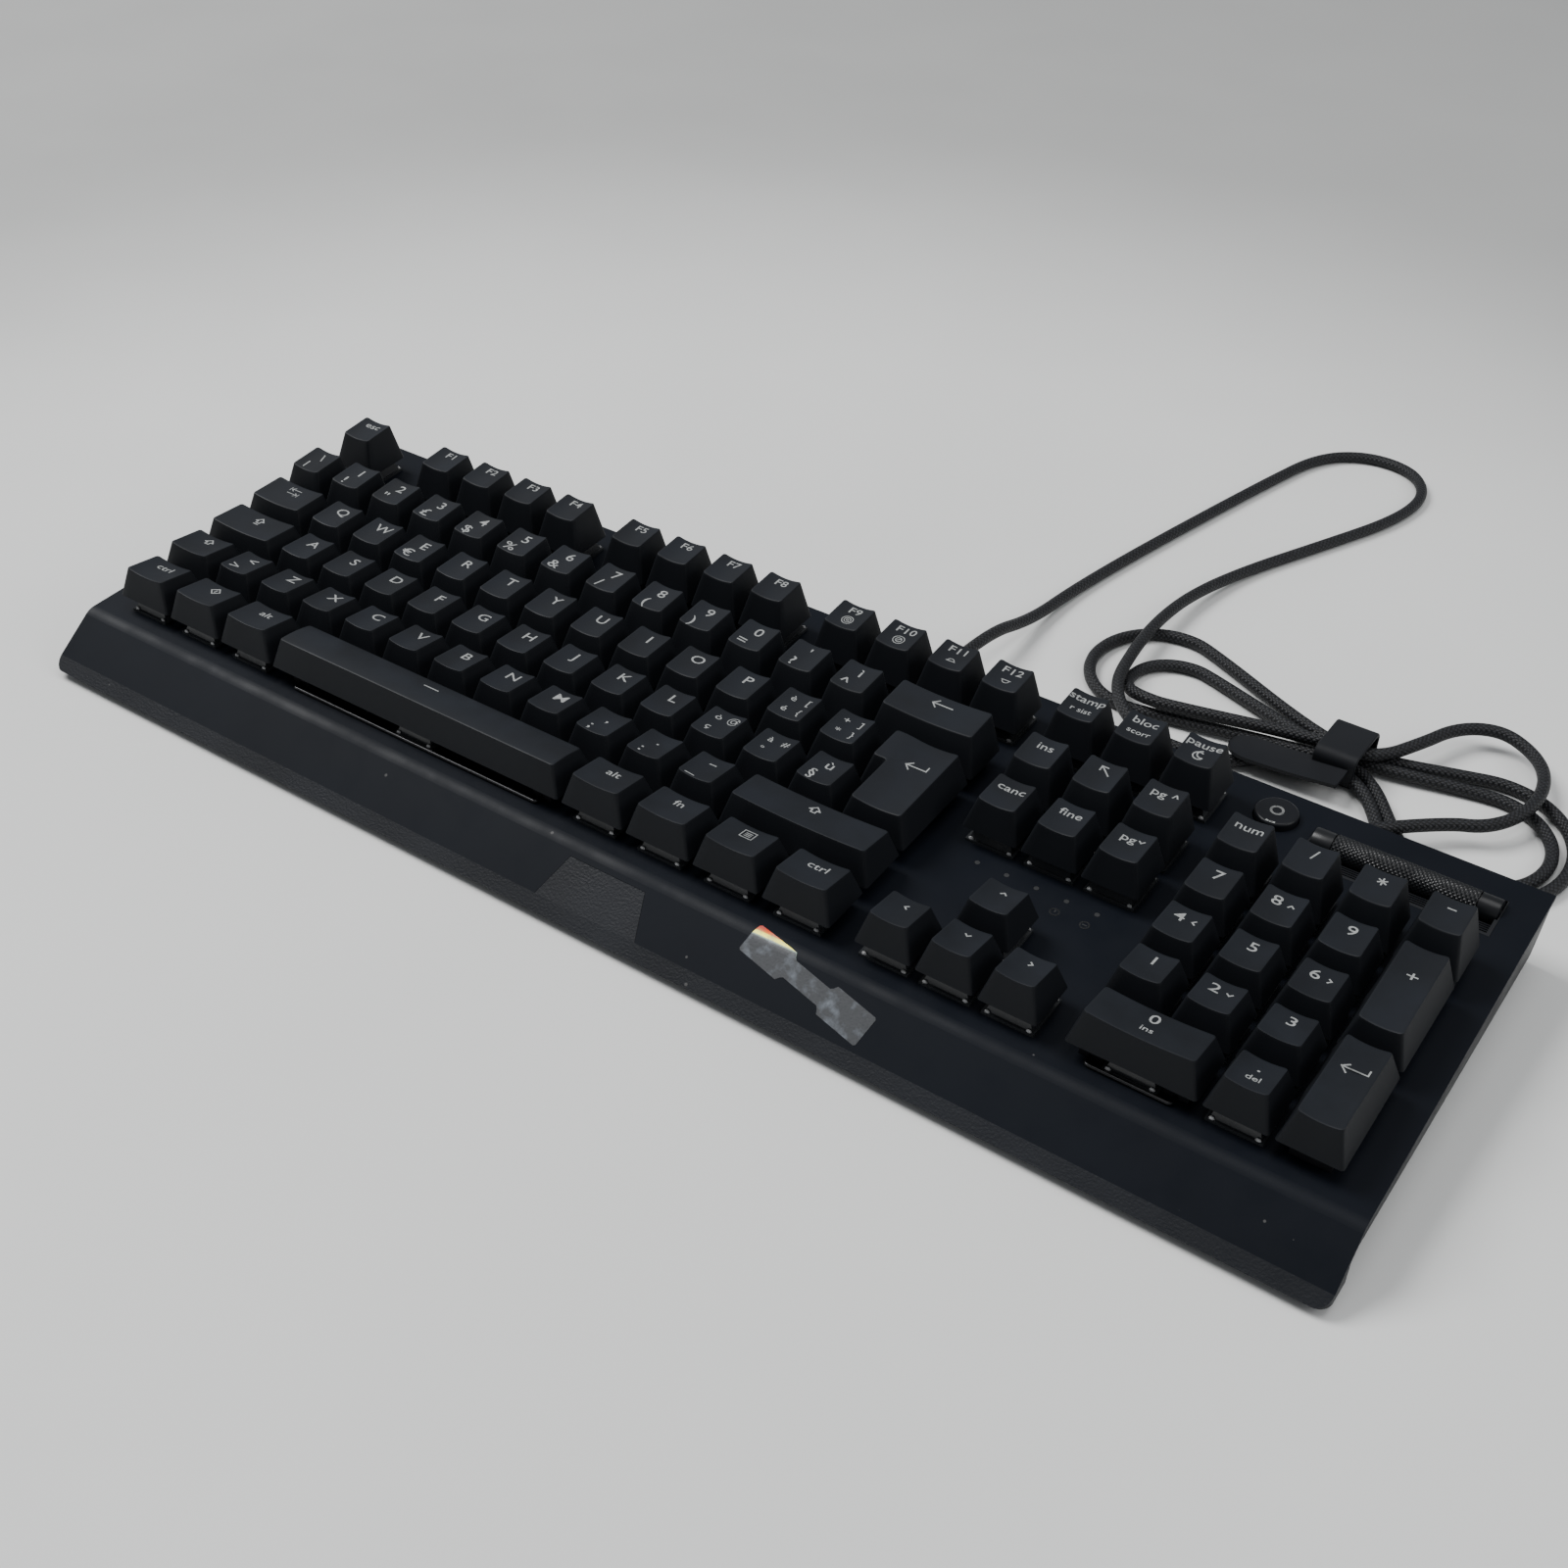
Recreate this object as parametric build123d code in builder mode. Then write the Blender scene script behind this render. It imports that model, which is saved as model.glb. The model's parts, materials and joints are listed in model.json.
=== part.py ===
"""Full-size mechanical keyboard with a numeric keypad, a volume roller and a braided cable.

Row frame: X runs along the keyboard to the right, Y from the front lip to the back, Z up from the
surface it stands on. The origin is at the middle of the keyboard's footprint. Everything that sits
on the sloping top plate is drawn on the plane `deck`, whose X is the row's X, whose Y runs up the
slope from the front edge of the bottom key row, and whose Z is the plate's normal.
"""

from build123d import *
import functools
import math
import os

# ---------------------------------------------------------------- driving dimensions (mm, degrees)
U = 19.05  # key pitch
CLUSTER_GAP = 6.6  # extra space before the navigation keys and before the numeric keypad
FUNCTION_GAP = 7.26  # extra space behind the number row
TILT = 3.4  # slope of the top plate
SIDE_MARGIN = 9.1  # plate beside the outermost keys
BACK_MARGIN = 9.7  # plate behind the function row
BEND_Y = -6.2  # where the top plate bends down into its apron
SEAM_Y, SEAM_Z = -21.1, -10.2  # lower end of the apron
LIP_Y, LIP_Z = -25.05, -13.2  # nose of the textured front lip
LIP_CLEARANCE = 3.0  # lip nose above the table
PLATE_T = 1.5
WALL = 2.6
BOARD_DEPTH, BOARD_T = 5.0, 1.6  # top of the circuit board under the plate, its thickness

TRAVEL_GAP = 5.3  # keycap skirt above the plate
SKIRT_INSET = 0.66  # keycap skirt inside its cell
TOP_INSET = 3.58  # keycap top face inside its cell, each side
CAP_WALL = 1.3
CAP_ROOF = 2.2
DISH_DEPTH = 0.9
BOSS_R = 2.7
SWITCH_CUT = 14.0
SWITCH_TOP = 6.6  # switch housing above the plate
STEM_TOP = 10.2

# Keycap profile of each row, front row A to function row F: height of the top face's front and
# back edge above the skirt, and the places of those edges from the cell's centre.
PROFILE = {
    "A": (10.9, 8.6, -6.25, 7.0),
    "B": (10.8, 8.8, -5.95, 7.2),
    "C": (10.2, 9.1, -6.2, 7.6),
    "D": (10.6, 10.5, -5.95, 7.6),
    "E": (12.7, 13.3, -5.1, 7.8),
    "F": (12.8, 13.5, -5.4, 7.0),
}

CORD_D = 4.2
FOOT_W, FOOT_L = 40.0, 20.0

# ---------------------------------------------------------------- derived dimensions
FIELD = 22 * U + 2 * CLUSTER_GAP
WIDTH = FIELD + 2 * SIDE_MARGIN
BACK_Y = 6 * U + FUNCTION_GAP + BACK_MARGIN
sin_t, cos_t = math.sin(math.radians(TILT)), math.cos(math.radians(TILT))
deck_z = LIP_CLEARANCE - LIP_Y * sin_t - LIP_Z * cos_t
front_reach = LIP_Y * cos_t - LIP_Z * sin_t
deck_y = -(front_reach + BACK_Y * cos_t) / 2
HALF_DEPTH = BACK_Y * cos_t + deck_y
deck = Plane(origin=(0, deck_y, deck_z), x_dir=(1, 0, 0), z_dir=(0, -sin_t, cos_t))
side = Plane(origin=deck.origin, x_dir=deck.y_dir, z_dir=deck.x_dir)

NAV_X = 15 * U + CLUSTER_GAP
PAD_X = 18 * U + 2 * CLUSTER_GAP


def on_deck(x, y, z=0.0):
    """Row-frame point of a place on the sloping plate."""
    return deck.from_local_coords((x, y, z))


def left_edge(units):
    """X on the deck of a key edge, counted in key units from the left, gaps included."""
    if units <= 15:
        return units * U - FIELD / 2
    if units < 18.3:
        return NAV_X + (units - 15.25) * U - FIELD / 2
    return PAD_X + (units - 18.5) * U - FIELD / 2


def row_front(row):
    """Y on the deck of the front edge of a key row."""
    index = "ABCDEF".index(row)
    return index * U + (FUNCTION_GAP if row == "F" else 0)


# ---------------------------------------------------------------- key layout
# Each key: row, left edge in units, width in units, rows it spans.
def run_of(row, first, count, width=1.0):
    return [(row, first + i * width, width, 1) for i in range(count)]


KEYS = {
    "esc_key": [("F", 0, 1, 1)],
    "function_keys": run_of("F", 2, 4) + run_of("F", 6.5, 4) + run_of("F", 11, 4),
    "system_keys": run_of("F", 15.25, 3),
    "number_row_keys": run_of("E", 0, 13),
    "backspace_key": [("E", 13, 2, 1)],
    "upper_letter_keys": [("D", 0, 1.5, 1)] + run_of("D", 1.5, 12),
    "home_letter_keys": [("C", 0, 1.75, 1)] + run_of("C", 1.75, 12),
    "left_shift_key": [("B", 0, 1.25, 1)],
    "lower_letter_keys": run_of("B", 1.25, 11),
    "right_shift_key": [("B", 12.25, 2.75, 1)],
    "modifier_keys": run_of("A", 0, 3, 1.25) + run_of("A", 10, 4, 1.25),
    "space_bar": [("A", 3.75, 6.25, 1)],
    "navigation_keys": run_of("E", 15.25, 3) + run_of("D", 15.25, 3),
    "arrow_up_key": [("B", 16.25, 1, 1)],
    "arrow_left_key": [("A", 15.25, 1, 1)],
    "arrow_down_key": [("A", 16.25, 1, 1)],
    "arrow_right_key": [("A", 17.25, 1, 1)],
    "keypad_num_lock": [("E", 18.5, 1, 1)],
    "keypad_divide": [("E", 19.5, 1, 1)],
    "keypad_multiply": [("E", 20.5, 1, 1)],
    "keypad_minus": [("E", 21.5, 1, 1)],
    "keypad_7": [("D", 18.5, 1, 1)],
    "keypad_8": [("D", 19.5, 1, 1)],
    "keypad_9": [("D", 20.5, 1, 1)],
    "keypad_plus": [("C", 21.5, 1, 2)],
    "keypad_4": [("C", 18.5, 1, 1)],
    "keypad_5": [("C", 19.5, 1, 1)],
    "keypad_6": [("C", 20.5, 1, 1)],
    "keypad_1": [("B", 18.5, 1, 1)],
    "keypad_2": [("B", 19.5, 1, 1)],
    "keypad_3": [("B", 20.5, 1, 1)],
    "keypad_enter": [("A", 21.5, 1, 2)],
    "keypad_0": [("A", 18.5, 2, 1)],
    "keypad_dot": [("A", 20.5, 1, 1)],
}
ENTER_LEFT_LOW, ENTER_LEFT_HIGH, ENTER_RIGHT = 13.75, 13.5, 15
STABILISER_REACH = {2: 11.94, 2.75: 11.94, 6.25: 50.0}  # from the key's centre
STAB_X, STAB_Y = 6.8, 11.0  # stabiliser housing, along and across the key


def centre_of(key):
    """Centre of a key's cell on the deck."""
    row, first, width, span = key
    x = left_edge(first) + width * U / 2
    return x, row_front(row) + span * U / 2


enter_centre = ((left_edge(ENTER_LEFT_LOW) + left_edge(ENTER_RIGHT)) / 2, row_front("C") + U)
all_keys = [key for group in KEYS.values() for key in group]
switch_places = [centre_of(key) for key in all_keys] + [enter_centre]


def stabiliser_offsets(key):
    """Places of a long key's two stabilisers, from the key's centre."""
    _, _, width, span = key
    if span == 2:
        reach = STABILISER_REACH[2]
        return [(0, -reach), (0, reach)]
    reach = STABILISER_REACH.get(width)
    return [(-reach, 0), (reach, 0)] if reach else []


long_keys = [(centre_of(key), stabiliser_offsets(key)) for key in all_keys if stabiliser_offsets(key)]
long_keys.append((enter_centre, [(0, -STABILISER_REACH[2]), (0, STABILISER_REACH[2])]))
level_stabilisers = [(cx + dx, cy) for (cx, cy), offsets in long_keys for dx, dy in offsets if dx]
upright_stabilisers = [(cx, cy + dy) for (cx, cy), offsets in long_keys for dx, dy in offsets if dy]


def save(piece, name):
    piece.part.label = name
    export_step(piece.part, f"parts/{name}.step")


os.makedirs("parts", exist_ok=True)

# ---------------------------------------------------------------- top plate: bent aluminium sheet
MEDIA_X, MEDIA_Y, MEDIA_R = 147.4, 118.9, 6.5
ROLLER_Y, ROLLER_Z, ROLLER_R = 117.0, -1.2, 4.2
POCKET_X, POCKET_W = 187.3, 56.4  # recess of the roller
POCKET_FRONT, POCKET_BACK = 104.8, 121.8
TAB_TOP, TAB_BOTTOM, TAB_START = 13.6, 18.3, 3.9  # half widths of the lip's tab, its start down the apron
LAMP_Y, LAMP_PITCH, LAMP_R = 52.4, U / 2, 0.9
LAMP_X = NAV_X - FIELD / 2 + 1.5 * U
BEND_R = 7.0

apron_angle = math.degrees(math.atan2(-SEAM_Z, BEND_Y - SEAM_Y))
apron_length = math.hypot(SEAM_Z, SEAM_Y - BEND_Y)
apron = Plane(
    origin=on_deck(0, BEND_Y, 0),
    x_dir=(1, 0, 0),
    z_dir=deck.z_dir.rotate(Axis.X, apron_angle),
)
apron_drop = PLATE_T * math.tan(math.radians(apron_angle) / 2)
seam_under = (
    SEAM_Y + PLATE_T * math.sin(math.radians(apron_angle)),
    SEAM_Z - PLATE_T * math.cos(math.radians(apron_angle)),
)


def tab_outline(gap, down_to):
    """Corners of the lip's tapered tab on the apron, shrunk by a gap, down to a distance from the bend."""
    flare = (TAB_BOTTOM - TAB_TOP) / (apron_length - TAB_START)
    low_half = TAB_TOP + (down_to - TAB_START) * flare - gap
    top_half = TAB_TOP - gap
    top_y = -TAB_START - gap
    return [(-top_half, top_y), (top_half, top_y), (low_half, -down_to), (-low_half, -down_to)]


with BuildPart() as top_plate:
    with BuildSketch(side):
        with BuildLine():
            Polyline(
                (BACK_Y, 0),
                (BEND_Y, 0),
                (SEAM_Y, SEAM_Z),
                seam_under,
                (BEND_Y + apron_drop, -PLATE_T),
                (BACK_Y, -PLATE_T),
                close=True,
            )
        make_face()
    extrude(amount=WIDTH / 2, both=True)
    long_edges = top_plate.edges().filter_by(Axis.X)
    bends = long_edges.filter_by(lambda e: abs(side.to_local_coords(e.center()).X - BEND_Y) < 1.5)
    upper_bend = bends.sort_by(Axis.Z)[-1]
    lower_bend = bends.sort_by(Axis.Z)[0]
    fillet(upper_bend, BEND_R)
    fillet(lower_bend, BEND_R - PLATE_T)
    with BuildSketch(deck):
        with Locations(*switch_places):
            Rectangle(SWITCH_CUT, SWITCH_CUT)
        with Locations(*level_stabilisers):
            Rectangle(STAB_X + 0.2, STAB_Y + 0.2)
        with Locations(*upright_stabilisers):
            Rectangle(STAB_Y + 0.2, STAB_X + 0.2)
        with Locations((POCKET_X, (POCKET_FRONT + POCKET_BACK) / 2)):
            Rectangle(POCKET_W, POCKET_BACK - POCKET_FRONT)
        with Locations((MEDIA_X, MEDIA_Y)):
            Circle(MEDIA_R + 0.3)
        with Locations((LAMP_X, LAMP_Y)):
            with GridLocations(LAMP_PITCH, 1, 5, 1):
                Circle(LAMP_R)
    extrude(amount=-2 * PLATE_T, mode=Mode.SUBTRACT)
    with BuildSketch(apron):
        Polygon(*tab_outline(0, apron_length + 1), align=None)
    extrude(amount=4, both=True, mode=Mode.SUBTRACT)
save(top_plate, "top_plate")

# ---------------------------------------------------------------- front trim: textured lip and tab
TRIM_BACK = 11.6  # depth of the trim behind the nose, along the table


def side_to_row(y, z):
    point = side.from_local_coords((y, z, 0))
    return point.Y, point.Z


nose = side_to_row(LIP_Y, LIP_Z)
seam_top = side_to_row(SEAM_Y, SEAM_Z)
seam_low = side_to_row(*seam_under)
under_slope = math.tan(math.radians(apron_angle + TILT))
trim_back_y = nose[0] + TRIM_BACK
trim_back_z = seam_low[1] + (trim_back_y - seam_low[0]) * under_slope

with BuildPart() as front_trim:
    with BuildSketch(Plane.YZ):
        Polygon(
            nose,
            seam_top,
            seam_low,
            (trim_back_y, trim_back_z),
            (trim_back_y, LIP_CLEARANCE),
            align=None,
        )
    extrude(amount=WIDTH / 2, both=True)
    with BuildSketch(apron):
        Polygon(*tab_outline(0.1, apron_length), align=None)
    extrude(amount=-PLATE_T)
    with BuildSketch():
        RectangleRounded(WIDTH, 2 * HALF_DEPTH, 4)
    extrude(amount=40, mode=Mode.INTERSECT)
save(front_trim, "front_trim")

# ---------------------------------------------------------------- bottom case: open tray
FLOOR_T = 2.0
SIDE_TAPER = 1.5  # how far the side walls lean in at the bottom
BOSS_OUTER, BOSS_TOP = 3.6, -8.0
SCREW_R, SCREW_HEAD_R, SCREW_HEAD_T = 1.25, 2.4, 1.6
STANDOFF_R = 2.2
GLAND_X, GLAND_Z, GLAND_HOLE_R = 22.0, 12.5, 4.0
FOOT_X, FOOT_PIVOT_Y, FOOT_PIVOT_Z = 165.0, 66.0, 5.4
FOOT_PIN_R, FOOT_BAY = 1.25, 6.2
BEND_FLAT = 1.8  # flat that keeps the case clear of the rounding under the plate's bend
screw_columns = [left_edge(u) for u in (1.25, 5.5, 9.5, 13.25, 21.5)]
SCREW_FRONT_Y, SCREW_BACK_Y = U, 5 * U
screw_places = [(x, SCREW_FRONT_Y) for x in screw_columns] + [(x, SCREW_BACK_Y + 3.6) for x in screw_columns]
PADS = [(-168, -60, 64, 9), (168, -60, 64, 9), (0, -60, 64, 9), (-110, 58, 40, 12), (110, 58, 40, 12)]

under_bend = side_to_row(BEND_Y + apron_drop, -PLATE_T)
under_back = side_to_row(BACK_Y, -PLATE_T)


def tray_section(inset, floor):
    """Side outline of the case, or of its hollow when it is inset, as row Y and Z."""
    tan_t = math.tan(math.radians(TILT))
    front, back = trim_back_y + inset, HALF_DEPTH - inset
    lift = 3.0 * (inset > 0)
    front_top = trim_back_z + inset * under_slope + lift
    bend_y, bend_z = under_bend[0] + lift * 0.4, under_bend[1] + lift
    before_bend = (bend_y - BEND_FLAT, bend_z - BEND_FLAT * under_slope)
    after_bend = (bend_y + BEND_FLAT, bend_z + BEND_FLAT * tan_t)
    back_top = under_back[1] + (back - under_back[0]) * tan_t + lift
    return [(front, floor), (front, front_top), before_bend, after_bend, (back, back_top), (back, floor)]


def screw_seat(y):
    """Deck Z of the underside of a case screw's head."""
    floor_z = deck.to_local_coords(Vector(0, on_deck(0, y).Y, LIP_CLEARANCE)).Z
    return floor_z + SCREW_HEAD_T + 0.6


with BuildPart() as bottom_case:
    with BuildSketch(Plane.YZ):
        Polygon(*tray_section(0, LIP_CLEARANCE), align=None)
    extrude(amount=WIDTH / 2, both=True)
    with BuildSketch():
        RectangleRounded(WIDTH, 2 * HALF_DEPTH, 3)
    extrude(amount=60, mode=Mode.INTERSECT)
    for sign in (-1, 1):
        with BuildSketch(Plane.XZ.offset(-100)):
            Polygon(
                (sign * WIDTH / 2, 26),
                (sign * (WIDTH / 2 - SIDE_TAPER), LIP_CLEARANCE),
                (sign * (WIDTH / 2 + 5), LIP_CLEARANCE),
                align=None,
            )
        extrude(amount=200, mode=Mode.SUBTRACT)
    with BuildSketch(Plane.YZ):
        Polygon(*tray_section(WALL, LIP_CLEARANCE + FLOOR_T), align=None)
    extrude(amount=WIDTH / 2 - WALL - SIDE_TAPER, both=True, mode=Mode.SUBTRACT)
    # bays of the two tilt feet, closed above
    with BuildSketch(Plane.XY.offset(LIP_CLEARANCE)):
        with Locations((-FOOT_X, FOOT_PIVOT_Y - FOOT_L / 2), (FOOT_X, FOOT_PIVOT_Y - FOOT_L / 2)):
            Rectangle(FOOT_W + 8, FOOT_L + 10)
    extrude(amount=FOOT_BAY + FLOOR_T)
    with BuildSketch(Plane.XY.offset(LIP_CLEARANCE)):
        with Locations((-FOOT_X, FOOT_PIVOT_Y - FOOT_L / 2), (FOOT_X, FOOT_PIVOT_Y - FOOT_L / 2)):
            Rectangle(FOOT_W + 1, FOOT_L + 6.5)
    extrude(amount=FOOT_BAY, mode=Mode.SUBTRACT)
    for x in (-FOOT_X, FOOT_X):
        with Locations(Location((x, FOOT_PIVOT_Y, FOOT_PIVOT_Z), (0, 90, 0))):
            Cylinder(FOOT_PIN_R, FOOT_W + 6, mode=Mode.SUBTRACT)
    # screw bosses
    with BuildSketch(deck.offset(BOSS_TOP)):
        with Locations(*screw_places):
            Circle(BOSS_OUTER)
    extrude(until=Until.NEXT, dir=-deck.z_dir)
    with BuildSketch(deck):
        with Locations(*screw_places):
            Circle(SCREW_R + 0.15)
    extrude(amount=-30, mode=Mode.SUBTRACT)
    for x, y in screw_places:
        with BuildSketch(deck.offset(screw_seat(y))):
            with Locations((x, y)):
                Circle(SCREW_HEAD_R + 0.2)
        extrude(amount=-6, mode=Mode.SUBTRACT)
    # recesses of the rubber pads
    with BuildSketch(Plane.XY.offset(LIP_CLEARANCE)):
        for x, y, w, d in PADS:
            with Locations((x, y)):
                RectangleRounded(w, d, 3)
    extrude(amount=0.5, mode=Mode.SUBTRACT)
    # hole of the cable gland
    with Locations(Location((GLAND_X, HALF_DEPTH, GLAND_Z), (90, 0, 0))):
        Cylinder(GLAND_HOLE_R, 4 * WALL, mode=Mode.SUBTRACT)
save(bottom_case, "bottom_case")

# ---------------------------------------------------------------- circuit board
BOARD_TOP = -BOARD_DEPTH
PEG_R = 1.95
board_front, board_back = 1.5, row_front("F") + U - 2.0
board_x = FIELD / 2 - 1.0

with BuildPart() as circuit_board:
    with BuildSketch(deck.offset(BOARD_TOP)):
        with Locations((0, (board_front + board_back) / 2)):
            Rectangle(2 * board_x, board_back - board_front)
        with Locations((POCKET_X - 6, board_back - 8)):
            Rectangle(POCKET_W + 50, 2 * (board_back - POCKET_FRONT) + 4, mode=Mode.SUBTRACT)
        with Locations(*screw_places):
            Circle(STANDOFF_R + 0.3, mode=Mode.SUBTRACT)
        with Locations(*switch_places):
            Circle(PEG_R + 0.05, mode=Mode.SUBTRACT)
    extrude(amount=-BOARD_T)
save(circuit_board, "circuit_board")

# ---------------------------------------------------------------- key switches
BASE_W, TOP_W, TOP_LID_W, FLANGE_W, FLANGE_T = 13.8, 13.8, 9.8, 15.6, 0.9
WINDOW_X, WINDOW_Y = 7.4, 6.0
SLIDER_X, SLIDER_Y, SLIDER_LOW = 7.0, 5.6, 0.8

with BuildPart() as switch_base:
    with BuildSketch(Plane.XY.offset(BOARD_TOP)):
        Rectangle(BASE_W, BASE_W)
    extrude(amount=BOARD_DEPTH)
    with BuildSketch(Plane.XY.offset(BOARD_TOP + 1.0)):
        Rectangle(WINDOW_X + 1, WINDOW_Y + 1)
    extrude(amount=BOARD_DEPTH, mode=Mode.SUBTRACT)
    with BuildSketch(Plane.XY.offset(BOARD_TOP)):
        Circle(PEG_R)
    extrude(amount=-BOARD_T - 0.6)

with BuildPart() as switch_top:
    with BuildSketch():
        Rectangle(FLANGE_W, FLANGE_W)
    extrude(amount=FLANGE_T)
    with BuildSketch(Plane.XY.offset(FLANGE_T)):
        Rectangle(TOP_W, TOP_W)
    with BuildSketch(Plane.XY.offset(SWITCH_TOP)):
        Rectangle(TOP_LID_W, TOP_LID_W)
    loft()
    with BuildSketch():
        Rectangle(WINDOW_X, WINDOW_Y)
    extrude(amount=SWITCH_TOP, mode=Mode.SUBTRACT)


def spots(places, z=0.0):
    """Places on the sloping plate, as locations square to it."""
    return [deck.location * Location((x, y, z)) for x, y in places]


with BuildPart() as switch_bases:
    with Locations(*spots(switch_places)):
        add(switch_base.part)
save(switch_bases, "switch_bases")

with BuildPart() as switch_tops:
    with Locations(*spots(switch_places)):
        add(switch_top.part)
save(switch_tops, "switch_tops")

# ---------------------------------------------------------------- stabilisers of the long keys
STAB_SLIDER, STAB_H = 5.4, 4.0
STAB_LOW, STAB_FLOOR = -4.1, -3.5  # underside of a stabiliser housing, floor of its window
STAB_WINDOW = STAB_SLIDER + 0.4
WIRE_R, WIRE_Z, WIRE_OUT = 0.6, 0.65, 8.6

with BuildPart() as stabiliser_unit:
    with BuildSketch(Plane.XY.offset(STAB_LOW)):
        Rectangle(STAB_X, STAB_Y)
    extrude(amount=STAB_H - STAB_LOW)
    with BuildSketch(Plane.XY.offset(STAB_FLOOR)):
        Rectangle(STAB_WINDOW, STAB_WINDOW)
    extrude(amount=2 * STAB_H, mode=Mode.SUBTRACT)

with BuildPart() as stabiliser_housings:
    with Locations(*spots(level_stabilisers)):
        add(stabiliser_unit.part)
    with Locations(*spots(upright_stabilisers)):
        add(stabiliser_unit.part, rotation=(0, 0, 90))
save(stabiliser_housings, "stabiliser_housings")


def stabiliser_wire(reach, upright):
    """A U of wire beside a long key's switch, its two legs ending at the housings."""
    legs = [(-reach, -STAB_Y / 2), (-reach, -WIRE_OUT), (reach, -WIRE_OUT), (reach, -STAB_Y / 2)]
    points = [(y, -x, WIRE_Z) if upright else (x, y, WIRE_Z) for x, y in legs]
    with BuildPart() as wire:
        with BuildLine() as path:
            FilletPolyline(*points, radius=0.9)
        start = Plane(origin=path.line @ 0, z_dir=path.line % 0)
        with BuildSketch(start):
            Circle(WIRE_R)
        sweep()
    return wire.part


with BuildPart() as stabiliser_wires:
    for (cx, cy), offsets in long_keys:
        upright = offsets[1][0] == 0
        reach = max(offsets[1])
        with Locations(*spots([(cx, cy)])):
            add(stabiliser_wire(reach, upright))
save(stabiliser_wires, "stabiliser_wires")

# ---------------------------------------------------------------- standoffs, screws and pads
STANDOFF_TOP = -PLATE_T
SCREW_TOP = -PLATE_T - 0.5

with BuildPart() as plate_standoffs:
    with BuildSketch(deck.offset(STANDOFF_TOP)):
        with Locations(*screw_places):
            Circle(STANDOFF_R)
            Circle(SCREW_R, mode=Mode.SUBTRACT)
    extrude(amount=BOSS_TOP - STANDOFF_TOP)
save(plate_standoffs, "plate_standoffs")


with BuildPart() as case_screws:
    for x, y in screw_places:
        seat = screw_seat(y)
        with BuildSketch(deck.offset(seat)):
            with Locations((x, y)):
                Circle(SCREW_R)
        extrude(amount=SCREW_TOP - seat)
        with BuildSketch(deck.offset(seat)):
            with Locations((x, y)):
                Circle(SCREW_HEAD_R)
        extrude(amount=-SCREW_HEAD_T)
        with BuildSketch(deck.offset(seat - SCREW_HEAD_T)):
            with Locations((x, y)):
                RegularPolygon(1.1, 6)
        extrude(amount=1.0, mode=Mode.SUBTRACT)
save(case_screws, "case_screws")

with BuildPart() as rubber_pads:
    with BuildSketch():
        for x, y, w, d in PADS:
            with Locations((x, y)):
                RectangleRounded(w - 0.4, d - 0.4, 2.8)
    extrude(amount=LIP_CLEARANCE + 0.5)
    chamfer(rubber_pads.faces().sort_by(Axis.Z)[0:5].edges(), 0.6)
save(rubber_pads, "rubber_pads")

# ---------------------------------------------------------------- indicator light guides
with BuildPart() as indicator_lenses:
    with BuildSketch(deck.offset(BOARD_TOP)):
        with Locations((LAMP_X, LAMP_Y)):
            with GridLocations(LAMP_PITCH, 1, 5, 1):
                Circle(LAMP_R - 0.1)
    extrude(amount=BOARD_DEPTH)
save(indicator_lenses, "indicator_lenses")

# ---------------------------------------------------------------- media button
MEDIA_TOP, MEDIA_LOW, MEDIA_TRAVEL = 2.4, -3.0, 1.0

with BuildPart() as media_button:
    with BuildSketch(deck.offset(MEDIA_LOW)):
        with Locations((MEDIA_X, MEDIA_Y)):
            Circle(MEDIA_R)
    extrude(amount=MEDIA_TOP - MEDIA_LOW)
    fillet(media_button.faces().sort_by(Axis.Z)[-1].edges(), 1.0)
save(media_button, "media_button")

# ---------------------------------------------------------------- volume roller and its cradle
CRADLE_LOW, CRADLE_FIT = -8.0, 0.1
RIBS, RIB_DEPTH = 6, 0.6
REST_TOP, REST_LOW = (POCKET_FRONT + 1.0, -0.6), (ROLLER_Y - 3.6, -2.6)  # deck Y and Z of the rest's two ends
AXLE_R, KNURL_W, CAP_W = 1.2, 42.0, 6.4
TROUGH_R = ROLLER_R + 0.5
roller_axis = Plane(origin=on_deck(POCKET_X, ROLLER_Y, ROLLER_Z), x_dir=deck.y_dir, z_dir=deck.x_dir)
cradle_w = POCKET_W - 2 * CRADLE_FIT
roller_w = KNURL_W + 2 * CAP_W


def ribbed_rest():
    """Stepped line down the rest in front of the roller: flat ribs with a groove before each."""
    run, fall = REST_LOW[0] - REST_TOP[0], REST_LOW[1] - REST_TOP[1]
    points = []
    for rib in range(RIBS):
        for share, depth in ((rib, 0), (rib, RIB_DEPTH), (rib + 0.5, RIB_DEPTH), (rib + 0.5, 0)):
            points.append((REST_TOP[0] + run * share / RIBS, REST_TOP[1] + fall * share / RIBS - depth))
    return points + [REST_LOW]


with BuildPart() as roller_cradle:
    with BuildSketch(deck):
        with Locations((POCKET_X, (POCKET_FRONT + POCKET_BACK) / 2)):
            Rectangle(cradle_w, POCKET_BACK - POCKET_FRONT - 2 * CRADLE_FIT)
    extrude(amount=CRADLE_LOW)
    # trough under the roller, leaving an end wall at each side
    with BuildSketch(roller_axis):
        Circle(TROUGH_R)
    extrude(amount=roller_w / 2 + 0.3, both=True, mode=Mode.SUBTRACT)
    # sloping ribbed rest in front of the roller
    with BuildSketch(side.offset(POCKET_X)):
        Polygon((REST_TOP[0], 1), *ribbed_rest(), (REST_LOW[0], 1), align=None)
    extrude(amount=roller_w / 2 - 0.4, both=True, mode=Mode.SUBTRACT)
    with BuildSketch(roller_axis):
        Circle(AXLE_R + 0.05)
    extrude(amount=cradle_w / 2 - 0.4, both=True, mode=Mode.SUBTRACT)
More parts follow.
